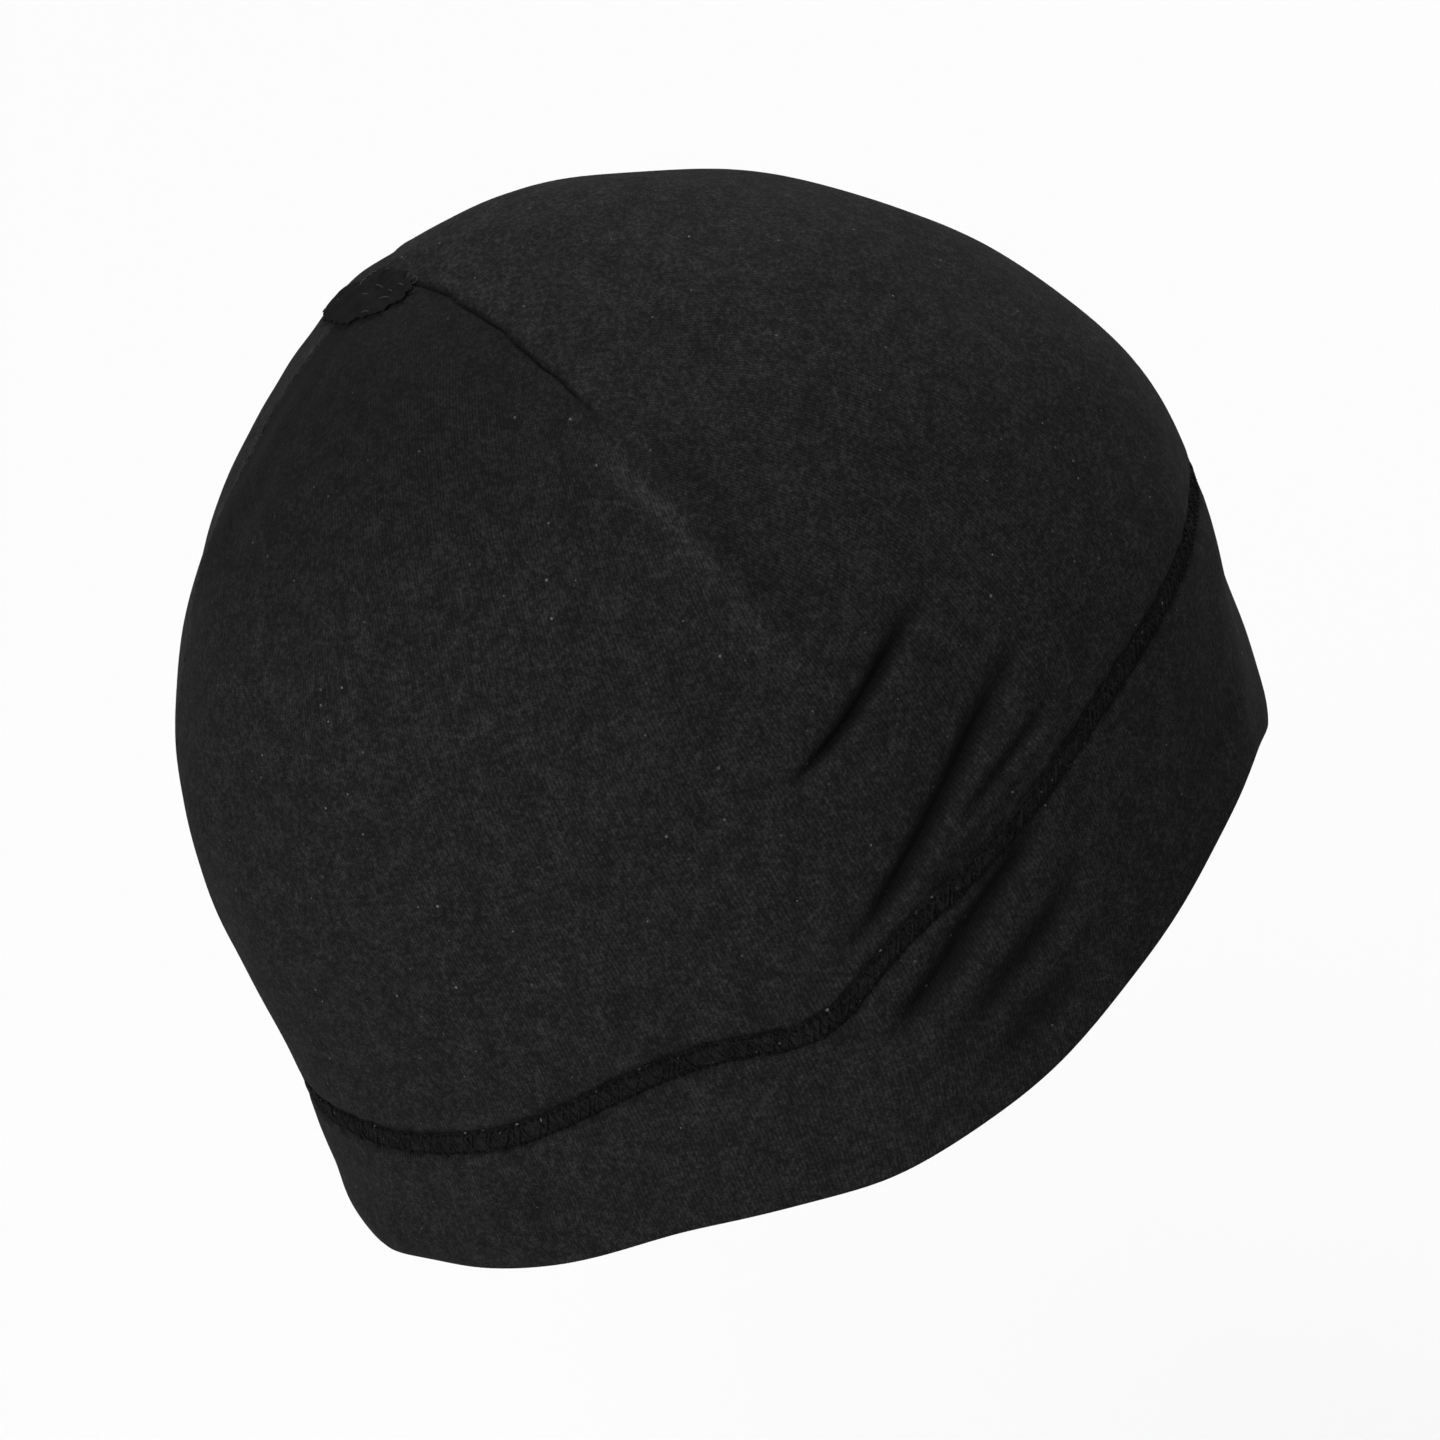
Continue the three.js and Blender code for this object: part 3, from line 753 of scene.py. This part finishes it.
def jerseyMaterial(name, look):
    # dark to light by fuzz and knit, then lint, then a painted highlight where the painted shading is
    # below 0 and painted shade where it is above
    material, tree, shader, spot, mottle = startMaterial(name, look)
    shader.inputs["Sheen Tint"].default_value = grey(look["sheenTone"])
    cloth = tree.nodes.new("ShaderNodeUVMap")
    cloth.uv_map = "cloth"
    attribute = tree.nodes.new("ShaderNodeAttribute")
    attribute.attribute_name = "paintedShading"
    paintedShading = attribute.outputs["Fac"]
    knit = useGroup(tree, knitLoops, {
        "Cloth": cloth.outputs["UV"], "Wale": look["wale"], "Course": look["course"]})
    lint = useGroup(tree, lintSpecks, {
        "Vector": spot, "Spacing Scale": look["lintScale"], "Speck Size": look["lintSize"],
        "Share": look["lintShare"]})
    tone = weightedSum(tree, mottle, 1 - look["knitShare"], knit, look["knitShare"])
    tone = mathNode(tree, "POWER", tone, look["contrast"])
    base = mixColour(tree, tone, grey(look["dark"]), grey(look["light"]))
    base = mixColour(tree, lint, base, grey(look["lintTone"]))
    # painted highlight: towards lighter colours as the painted shading falls below 0
    paintedHighlight = mathNode(tree, "MULTIPLY", paintedShading, -look["paintedHighlightShare"])
    paintedHighlightColour = mixColour(tree, tone, grey(look["paintedHighlightDark"]), grey(look["paintedHighlightLight"]))
    base = mixColour(tree, paintedHighlight, base, paintedHighlightColour)
    # painted shade: towards the shade tone as the painted shading rises above 0, uneven with the fuzz
    shade = mathNode(tree, "MULTIPLY", paintedShading, look["paintedShadeShare"])
    shade = mathNode(tree, "MULTIPLY", shade, mathNode(tree, "ADD", mottle, look["evenShade"]))
    base = mixColour(tree, shade, base, grey(look["paintedShadeTone"]))
    height = weightedSum(tree, knit, look["knitHeight"], mottle, look["fuzzHeight"])
    addSurface(tree, shader, base, height, look)
    return material


jerseyLook = {  # knit sizes in millimetres, noise scales for each metre
    "wale": 0.62, "course": 0.48, "knitShare": 0.15, "knitHeight": 0.05, "fuzzHeight": 0.25,
    "fibreScale": 2500.0, "tuftScale": 1050.0, "contrast": 2.4,
    "bumpStrength": 0.35, "bumpDistance": 0.001,
    "lintScale": 320.0, "lintSize": 0.07, "lintShare": 0.9, "lintTone": 0.11,
    "dark": 0.006, "light": 0.0385, "roughness": 0.95, "specular": 0.06,
    "sheen": 0.013, "sheenRoughness": 0.3, "sheenTone": 0.8,
    # painted shade: its share, its colour and how much the fuzz breaks it up
    "paintedShadeShare": 0.55, "paintedShadeTone": 0.001, "evenShade": 0.5,
    # painted highlight: its share and its dark and light colours
    "paintedHighlightShare": 0.5, "paintedHighlightDark": 0.012, "paintedHighlightLight": 0.085,
}
crownJersey = jerseyMaterial("crown jersey", jerseyLook)
bandJersey = jerseyMaterial("band jersey", dict(jerseyLook, lintShare=0.45))
# the seam's cloth is darker and takes more of the painted shade
seamCloth = jerseyMaterial("seam cloth", dict(
    jerseyLook, dark=0.001, light=0.02, contrast=1.6, tuftScale=800.0,
    lintScale=560.0, lintSize=0.17, lintTone=0.13, paintedShadeShare=0.75))


def threadMaterial(name, look):
    # the fuzz alone, as colour and as a fine bump
    material, tree, shader, _, mottle = startMaterial(name, look)
    base = mixColour(tree, mottle, grey(look["dark"]), grey(look["light"]))
    addSurface(tree, shader, base, mottle, look)
    return material


threadLook = {
    "fibreScale": 4200.0, "tuftScale": 700.0, "dark": 0.0, "light": 0.013,
    "roughness": 0.9, "specular": 0.08, "sheen": 0.01, "sheenRoughness": 0.4,
    "bumpStrength": 0.5, "bumpDistance": 0.0001,
}
seamThread = threadMaterial("seam thread", threadLook)
# darker than the cover loops: black thread, partly painted shade for the dark dashes between them
needleThread = threadMaterial("needle thread", dict(threadLook, dark=0.001, light=0.004))
tipThread = threadMaterial("tip thread", dict(
    threadLook, dark=0.005, light=0.0115, specular=0.03, sheen=0.0))
strayThread = threadMaterial("stray thread", dict(threadLook, dark=0.02, light=0.05))
print("materials made")


# Crown.

crown = {
    "thickness": 1.1,
    "zones": [  # from bearing, to bearing, columns
        (0, 36, 26), (36, 54, 26), (54, 96, 104), (96, 176, 54), (176, 184, 18),
        (184, 276, 52), (276, 290, 26), (290, 324, 34), (324, 360, 24),
    ],
    "outsideRows": [(0, 0.68, 74), (0.68, 1.0, 112)],  # from share of the way down, to share, rows
    "insideRows": [(0, 0.68, 16), (0.68, 1.0, 54)],
    "edgeAbove": 2.1,  # the lower edge lies this far above the seam's middle
    "edgeRoll": 0.75,  # how deep the edge rolls in beside the seam
    "edgeRollReach": 2.2,
    "panelDegrees": [0, 78, 180, 282, 360],  # the darts and the back seam part the knit
    "panelMiddles": [0, 129, 231, 360],  # the front panel lies on both sides of 0
    "panelWidest": 6,  # the level from which a panel has its full width
}


def panelUv(degrees, level, panelMiddle):
    # millimetres across the panel from its middle wale, and millimetres down from the tip
    full = capBody["girthRadius"]
    width = np.where(level < crown["panelWidest"], bodyCurves["halfWidth"](level), full)
    across = np.radians(degrees - panelMiddle) * np.minimum(width, full)
    return np.stack([across, flatPoint(degrees, level)[1]], axis=-1)


def crownPiece():
    # rows run down the outside from the tip and up the inside; a fan closes each face at the tip
    bearings = evenSteps(crown["zones"])
    columnCount = len(bearings)
    edge = levelBelowSeam(bearings, -crown["edgeAbove"] * seamSpread(bearings))
    edgeTurn = crown["edgeRollReach"] / capBody["crownLevel"]

    def layer(rowZones, depth):
        # each row is a share of the way down to the edge, and rolls in close to it
        share = np.append(evenSteps(rowZones)[1:], 1.0)[:, None]
        level = share * edge[None, :]
        rolled = rise(level - edge[None, :], -edgeTurn, 0) ** 2
        return level, *clothLayer(bearings, level, depth, rolled, crown["edgeRoll"])

    outsideLevel, outside, outsidePaintedShading = layer(crown["outsideRows"], 0.0)
    insideLevel, inside, insidePaintedShading = layer(crown["insideRows"], crown["thickness"])
    rings = np.concatenate([outside, inside[::-1]])
    levels = np.concatenate([outsideLevel, insideLevel[::-1]]).reshape(-1)
    paintedShading = np.concatenate([outsidePaintedShading.ravel(), 0 * insidePaintedShading.ravel(), [0, 0]])
    tipPoint = bodyPoint(np.array(0.0), np.array(0.0))
    tipIn = tipPoint - bodyNormal(np.array(90.0), np.array(0.0)) * crown["thickness"]
    points = np.concatenate([rings.reshape(-1, 3), tipPoint[None], tipIn[None]])
    quads = ringFaces(len(rings), columnCount, False)
    startFan, endFan = endFans(len(rings), columnCount)

    # the knit runs down the middle of each panel
    columnMiddle = bearings + (np.roll(bearings, -1) - bearings) % 360 / 2
    panel = np.searchsorted(crown["panelDegrees"], columnMiddle) - 1
    panelMiddle = np.array(crown["panelMiddles"], float)[panel][:, None]
    quadPanel = np.tile(panelMiddle, (len(rings) - 1, 1))
    uvs = [panelUv(cornerBearings(quads, bearings), levels[quads], quadPanel)]
    for fan, ringLevel in ((startFan, levels[:columnCount]), (endFan, levels[-columnCount:])):
        column = fan[:, 1:] % columnCount
        fanLevel = np.concatenate([np.zeros((columnCount, 1)), ringLevel[column]], axis=1)
        uvs.append(panelUv(bearings[column[:, [0, 0, 1]]], fanLevel, panelMiddle))
    cornerUv = np.concatenate([uv.reshape(-1, 2) for uv in uvs])
    faces = quads.tolist() + startFan.tolist() + endFan.tolist()
    piece = makePiece("crown_cloth", points, faces, crownJersey, cornerUv, paintedShading)
    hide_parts("crown")
    return piece


crownCloth = crownPiece()


# Band.

band = {
    "thickness": 2.2,
    "outsideRows": 70,
    "insideRows": 40,
    "hemRows": 9,
    "edgeBelow": 2.1,  # the upper edge lies this far below the seam's middle
    "edgeRoll": 0.75,
    "edgeRollReach": 1.5,
}


def bandPiece():
    # rows run down the outside, round the folded hem and up the inside; the loop closes at the top
    bearings = evenSteps(crown["zones"])
    spread = seamSpread(bearings + seamPulls["bandShift"])
    top = levelBelowSeam(bearings, band["edgeBelow"] * spread)[None, :]
    hem = hemLevel(bearings)[None, :]
    foldRadius = band["thickness"] / 2

    def layer(share, depth):
        # each row is a share of the way from the top to the hem, and rolls in close to the top
        level = top + (hem - top) * share[:, None]
        distance = (level - top) * capBody["bandLevel"]
        rolled = (1 - rise(distance, 0, band["edgeRollReach"])) ** 2
        return level, *clothLayer(bearings, level, depth, rolled, band["edgeRoll"])

    outsideShares = np.linspace(0, 1, band["outsideRows"] + 1)
    insideShares = np.linspace(1, 0, band["insideRows"] + 1)
    outsideLevel, outside, outsidePaintedShading = layer(outsideShares, 0.0)
    insideLevel, inside, insidePaintedShading = layer(insideShares, band["thickness"])
    turn = np.pi * np.arange(1, band["hemRows"] + 1) / (band["hemRows"] + 1)
    hemLevels = hem + (foldRadius * np.sin(turn) / capBody["bandLevel"])[:, None]
    hemDepth = foldRadius * (1 - np.cos(turn))[:, None] + 0 * hemLevels
    hemRings = clothPoint(bearings[None, :], hemLevels, hemDepth)
    rings = np.concatenate([outside, hemRings, inside])
    levels = np.concatenate([outsideLevel, hemLevels, insideLevel]).reshape(-1)
    paintedShading = np.concatenate([outsidePaintedShading, 0 * hemLevels, 0 * insidePaintedShading]).ravel()
    quads = ringFaces(len(rings), len(bearings), True)
    cornerUv = panelUv(cornerBearings(quads, bearings), levels[quads], 0.0).reshape(-1, 2)
    piece = makePiece("band_cloth", rings.reshape(-1, 3), quads.tolist(), bandJersey,
                      cornerUv, paintedShading)
    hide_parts("band")
    return piece


bandCloth = bandPiece()


# Joining seam: a sunken strip, cover loops and two rows of needle stitches.

seam = {
    "halfWidth": 2.5,  # the strip tucks under the cloth on both sides
    "sink": 0.4,
    "edgeSink": 0.45,  # how much deeper the strip's edges lie
    "thickness": 1.0,
    "stripRows": 12,
    "stitchLength": 1.55,
    "loopThread": 0.23,  # thread radius
    "needleThread": 0.26,
    "loopReach": 1.6,
    "loopLean": 0.32,  # leans the crossings so each one is a loop
    "loopHeight": -0.02,
    "loopArch": 0.08,
    "loopSquareness": 1.6,  # how straight the crossings are
    "loopSamples": 16,  # per stitch
    "needleRows": [-1.75, 1.7],
    "needleRings": [  # share of the half stitch, share of the thread, lift
        (-0.92, 0.35, -0.3),
        (-0.5, 1.0, 0.06),
        (0.5, 1.0, 0.06),
        (0.92, 0.35, -0.3),
    ],
    "needleSides": 5,
    "needleSize": (0.55, 0.95),  # by chance, a share of the stitch
    "needleSlant": 0.09,  # how unlike each other the needle stitches are
    "needleShift": 0.07,
    "threadSides": 6,
    "unevenReach": 0.45,  # how unlike each other the loops are
    "unevenLean": 0.4,
    "unevenHeight": 0.12,
    "seed": 11,
}


def seamPoint(degrees, below, depth):
    # a point of the cloth by its distance below the seam's middle
    return clothPoint(degrees, levelBelowSeam(degrees, below), depth)


def seamStrip():
    # across runs from the upper edge to the lower one, and its fourth power sinks the edges and gives
    # them painted shade
    bearings = evenSteps(crown["zones"])
    across = np.linspace(-1, 1, seam["stripRows"] + 1)[:, None] + 0 * bearings[None, :]
    below = across * seam["halfWidth"]
    depth = seam["sink"] + seam["edgeSink"] * across ** 4
    outside = seamPoint(bearings[None, :], below, depth)
    inside = seamPoint(bearings[None, :], below[::-1], depth[::-1] + seam["thickness"])
    rings = np.concatenate([outside, inside])
    quads = ringFaces(len(rings), len(bearings), True)
    along = np.radians(cornerBearings(quads, bearings)) * capBody["girthRadius"]
    down = np.concatenate([below, below[::-1]]).reshape(-1)[quads]
    # painted shade on the outside's sunken edges
    paintedShading = np.concatenate([across ** 4, 0 * below]).ravel()
    piece = makePiece("seam_strip", rings.reshape(-1, 3), quads.tolist(), seamCloth,
                      np.stack([along, down], axis=-1).reshape(-1, 2), paintedShading)
    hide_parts("joining_seam")
    return piece


def seamArc():
    # bearings a quarter of a degree apart, and the seam's length up to each
    degrees = np.linspace(0, 360, 1441)
    line = seamPoint(degrees, 0 * degrees, 0 * degrees)
    return degrees, np.append(0, np.cumsum(np.linalg.norm(np.diff(line, axis=0), axis=1)))


arcDegrees, arcLengths = seamArc()
stitchCount = int(round(arcLengths[-1] / seam["stitchLength"]))


def stitchBearings(samples):
    # bearings that step evenly along the seam's own length, so many to a stitch
    count = stitchCount * samples
    return np.interp(np.arange(count) * arcLengths[-1] / count, arcLengths, arcDegrees)


def unevenStitches(random, amount):
    # one chance value for each half stitch, joined by straight lines round the loop
    halves, samples = stitchCount * 2, seam["loopSamples"]
    values = random.normal(0, amount, halves)
    return np.interp(np.arange(stitchCount * samples) * 2 / samples, np.arange(halves), values,
                     period=halves)


def coverLoops():
    # one thread that swings from side to side, dips under the needle rows and rises between them
    random = np.random.default_rng(seam["seed"])
    bearings = stitchBearings(seam["loopSamples"])
    phase = 2 * np.pi * np.arange(len(bearings)) / seam["loopSamples"]
    square = seam["loopSquareness"]
    swing = np.tanh(square * np.sin(phase)) / math.tanh(square)
    below = seam["loopReach"] * swing + unevenStitches(random, seam["unevenReach"])
    height = seam["loopHeight"] + seam["loopArch"] * np.cos(2 * phase)
    height = height + unevenStitches(random, seam["unevenHeight"])
    lean = seam["loopLean"] * np.sin(2 * phase) + unevenStitches(random, seam["unevenLean"])
    below = below * seamSpread(bearings)
    path = seamPoint(bearings + lean * 360 / stitchCount, below, seam["sink"] - height)
    along = alongPath(path, True)
    sideways = unit(np.cross(along, bodyNormal(bearings, levelBelowSeam(bearings, below))))
    up = np.cross(sideways, along)
    rings = ringsAround(path, up, sideways, seam["loopThread"], seam["threadSides"])
    quads = ringFaces(len(rings), seam["threadSides"], True)
    return makePiece("seam_cover_loops", rings.reshape(-1, 3), quads.tolist(), seamThread)


def needleStitches():
    # each stitch is a short bead of a few rings that sinks into the cloth at both ends
    random = np.random.default_rng(seam["seed"] + 1)
    middles = stitchBearings(2)[1::2, None]
    share, girth, lift = np.array(seam["needleRings"]).T
    ringCount, sides = len(share), seam["needleSides"]
    pointCount = ringCount * sides
    bead = ringFaces(ringCount, sides, False)
    caps = tubeCaps(ringCount, sides)
    allPoints, allFaces = [], []
    for row, rowBelow in enumerate(seam["needleRows"]):
        size = random.uniform(*seam["needleSize"], (stitchCount, 1))
        slant = random.normal(0, seam["needleSlant"], (stitchCount, 1))
        shift = random.normal(0, seam["needleShift"], (stitchCount, 1))
        degrees = middles + share * 180 / stitchCount * size
        below = rowBelow * seamSpread(degrees) + shift + slant * share
        centre = seamPoint(degrees, below, seam["sink"] - lift + 0 * degrees)
        outward = bodyNormal(degrees, levelBelowSeam(degrees, rowBelow))
        sideways = unit(np.cross(unit(centre[:, -1:] - centre[:, :1]), outward))
        rings = ringsAround(centre, outward, sideways, girth * seam["needleThread"], sides)
        firsts = pointCount * (row * stitchCount + np.arange(stitchCount)[:, None, None])
        allFaces += (bead + firsts).reshape(-1, 4).tolist() + (caps + firsts).reshape(-1, sides).tolist()
        allPoints.append(rings.reshape(-1, 3))
    return makePiece("seam_needle_rows", np.concatenate(allPoints), allFaces, needleThread)


seamStripPiece = seamStrip()
coverLoopPiece = coverLoops()
needlePiece = needleStitches()


# Gathered tip.

def tipPiece():
    # a thin patch with a jagged outline; overlock threads run across it as low ribs. Its rings run
    # out over the top, where the height falls with a power of the share of the reach, down the edge
    # and back in on the crown, and two fans close the middles.
    bearings = np.linspace(0, 360, tip["columns"], endpoint=False)[None, :]
    share = (np.arange(1, tip["rows"] + 1) / tip["rows"])[:, None]
    reach = tipReach(bearings)
    level = share * reach / capBody["crownLevel"]
    angle = np.radians(bearings)
    forward, aside = share * np.cos(angle) * reach, share * np.sin(angle) * reach
    sway = ripples(forward, aside, tip["sway"])
    ribs = tip["ribHeight"] * np.sin(2 * np.pi * (aside + sway) / tip["ribSpacing"])
    humps = ripples(forward, aside, tip["humps"])
    crest = tip["edgeThickness"] + (tip["thickness"] - tip["edgeThickness"]) * (1 - share ** 3)
    height = tip["lift"] + crest + (ribs + humps) * (1 - share ** 6)
    body = bodyPoint(bearings, level)
    normal = bodyNormal(bearings, level)
    edgeShare, edgeRise = np.array(tip["edgeRings"]).T[..., None]
    edge = bodyPoint(bearings, edgeShare * reach / capBody["crownLevel"])
    edge = edge + normal[-1:] * (tip["lift"] + edgeRise[..., None] * tip["edgeThickness"])
    under = (body + normal * tip["lift"])[::-tip["rowsPerFloorRow"]][1:]
    rings = np.concatenate([body + normal * height[..., None], edge, under])
    up = bodyNormal(np.array(90.0), np.array(0.0))
    pole = bodyPoint(np.array(0.0), np.array(0.0))
    poles = [pole + up * (tip["lift"] + tip["thickness"]), pole + up * tip["lift"]]
    faces = ringFaces(len(rings), tip["columns"], False).tolist()
    for fan in endFans(len(rings), tip["columns"]):
        faces += fan.tolist()
    points = np.concatenate([rings.reshape(-1, 3), poles])
    piece = makePiece("tip_gather", points, faces, tipThread)
    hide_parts("crown_tip")
    return piece


tipThreadEnds = {
    "count": 18,
    "radius": 0.1,
    "length": [0.9, 2.6],
    "curl": 0.18,
    "headings": (30, 14),  # degrees, middle and spread
    "bearings": (-150, 110),  # all round but the rear right of the patch
    "spread": (0.1, 0.95),  # share of the patch's area, from its middle
    "clearance": 0.02,  # above the patch
    "arch": 0.14,  # how much higher the middle of a thread lies
    "taper": 0.8,  # how much thinner its ends are
    "ringBearing": 52.5,  # a thread that has closed into a ring beside the dart
    "ringDistance": 11.9,
    "ringRadius": 0.85,
    "ringLift": 0.2,
    "samples": 14,
    "sides": 6,
    "seed": 5,
}


def tipThreads():
    # short bowed threads that lie on the patch, thinner at their ends by the eighth power of the
    # distance from their middles, and one ring: each is a tube along a path on the body
    ends = tipThreadEnds
    random = np.random.default_rng(ends["seed"])
    count, samples, sides = ends["count"], ends["samples"], ends["sides"]
    bearings = np.mod(random.uniform(*ends["bearings"], count), 360)
    distance = (tipReach(bearings) * np.sqrt(random.uniform(*ends["spread"], count)))[:, None]
    heading = np.radians(random.normal(*ends["headings"], count))[:, None]
    length = random.uniform(*ends["length"], count)[:, None]
    curl = random.normal(0, ends["curl"], count)[:, None]
    angle = np.radians(bearings)[:, None]
    share = np.linspace(-0.5, 0.5, samples)[None, :]
    turned = heading + curl * share * 2
    forward = distance * np.cos(angle) + length * share * np.sin(turned)
    aside = distance * np.sin(angle) + length * share * np.cos(turned)
    above = tip["lift"] + tip["thickness"] + ends["clearance"] + ends["arch"] * (1 - (2 * share) ** 2)
    radius = ends["radius"] * (1 - (2 * share) ** 8 * ends["taper"])
    strands = [(forward[row], aside[row], above[0], radius[0], False) for row in range(count)]
    ringTurn = 2 * np.pi * np.arange(samples) / samples
    ringAngle = math.radians(ends["ringBearing"])
    strands.append((ends["ringDistance"] * math.cos(ringAngle) + ends["ringRadius"] * np.sin(ringTurn),
                    ends["ringDistance"] * math.sin(ringAngle) + ends["ringRadius"] * np.cos(ringTurn),
                    np.full(samples, ends["ringLift"]), np.full(samples, ends["radius"]), True))
    allPoints, allFaces = [], []
    for row, (ahead, out, lift, thick, closed) in enumerate(strands):
        degrees = np.degrees(np.arctan2(out, ahead))
        level = np.hypot(ahead, out) / capBody["crownLevel"]
        normal = bodyNormal(degrees, level)
        path = bodyPoint(degrees, level) + normal * lift[:, None]
        sideways = unit(np.cross(alongPath(path, closed), normal))
        rings = ringsAround(path, normal, sideways, thick, sides)
        first = row * samples * sides
        allFaces += (ringFaces(samples, sides, closed) + first).tolist()
        if not closed:
            allFaces += (tubeCaps(samples, sides) + first).tolist()
        allPoints.append(rings.reshape(-1, 3))
    return makePiece("tip_thread_ends", np.concatenate(allPoints), allFaces, strayThread)


tipGather = tipPiece()
tipStrands = tipThreads()


# Floor, light and camera.

studio = {
    "floorHeight": -0.3,
    "floorSize": 16.0,
    "floorRoughness": 0.9,
    "floorTone": 0.81,  # as the camera sees it
    "floorBounce": 0.47,  # as it lights the cap
    "worldStrength": 0.06,  # the same; the camera sees it white
    "cameraBearing": -100.0,
    "cameraElevation": 16.0,
    "cameraDistance": 1.25,
    "cameraLens": 170.0,  # millimetres, on a sensor this wide
    "cameraSensor": 36.0,
    "cameraTarget": (0.0, 0.014, 0.0505),
    "softLights": [  # bearing, elevation, width in degrees, strength
        (60, 60, 60, 3.1),
        (-130, 13, 60, 3.6),
    ],
}


def directionFrom(bearing, elevation):
    # round from the front and up from the floor, in degrees, as a direction of length 1
    a, e = math.radians(bearing), math.radians(elevation)
    return Vector((math.sin(a) * math.cos(e), -math.cos(a) * math.cos(e), math.sin(e)))


def aimAt(thing, target):
    # turns a lamp or the camera to look at the target
    thing.rotation_euler = (target - thing.location).to_track_quat("-Z", "Y").to_euler()


def makeStudio():
    # the floor and the world look nearly white to the camera and light the cap less than that
    scene = bpy.context.scene
    scene.view_settings.view_transform = "Standard"
    half, height = studio["floorSize"] / 2, studio["floorHeight"]
    corners = [(-half, -half, height), (half, -half, height), (half, half, height), (-half, half, height)]
    floorMesh = bpy.data.meshes.new("floor")
    floorMesh.from_pydata(corners, [], [(0, 1, 2, 3)])
    floor = place("floor", floorMesh)
    paper = bpy.data.materials.new("pale paper")
    paper.use_nodes = True
    tree = paper.node_tree
    seen = addNode(tree, "LightPath", {})["Is Camera Ray"]
    tone = mixColour(tree, seen, grey(studio["floorBounce"]), grey(studio["floorTone"]))
    feedAll(tree, tree.nodes["Principled BSDF"], {
        "Roughness": studio["floorRoughness"], "Base Color": tone})
    floorMesh.materials.append(paper)
    world = bpy.data.worlds.new("studio")
    world.use_nodes = True
    tree = world.node_tree
    seen = addNode(tree, "LightPath", {})["Is Camera Ray"]
    strength = mathNode(tree, "MAXIMUM", seen, studio["worldStrength"])
    feedAll(tree, tree.nodes["Background"], {"Color": grey(1.0), "Strength": strength})
    scene.world = world
    target = Vector(studio["cameraTarget"])
    for number, (bearing, elevation, width, strength) in enumerate(studio["softLights"]):
        lamp = bpy.data.lights.new(f"soft light {number}", "SUN")
        lamp.angle = math.radians(width)
        lamp.energy = strength
        softLight = place(lamp.name, lamp)
        softLight.location = target + directionFrom(bearing, elevation)
        aimAt(softLight, target)
    lens = bpy.data.cameras.new("camera")
    lens.lens = studio["cameraLens"]
    lens.sensor_width = studio["cameraSensor"]
    camera = place("camera", lens)
    outward = directionFrom(studio["cameraBearing"], studio["cameraElevation"])
    camera.location = target + outward * studio["cameraDistance"]
    aimAt(camera, target)
    scene.camera = camera
    print("studio made")


makeStudio()
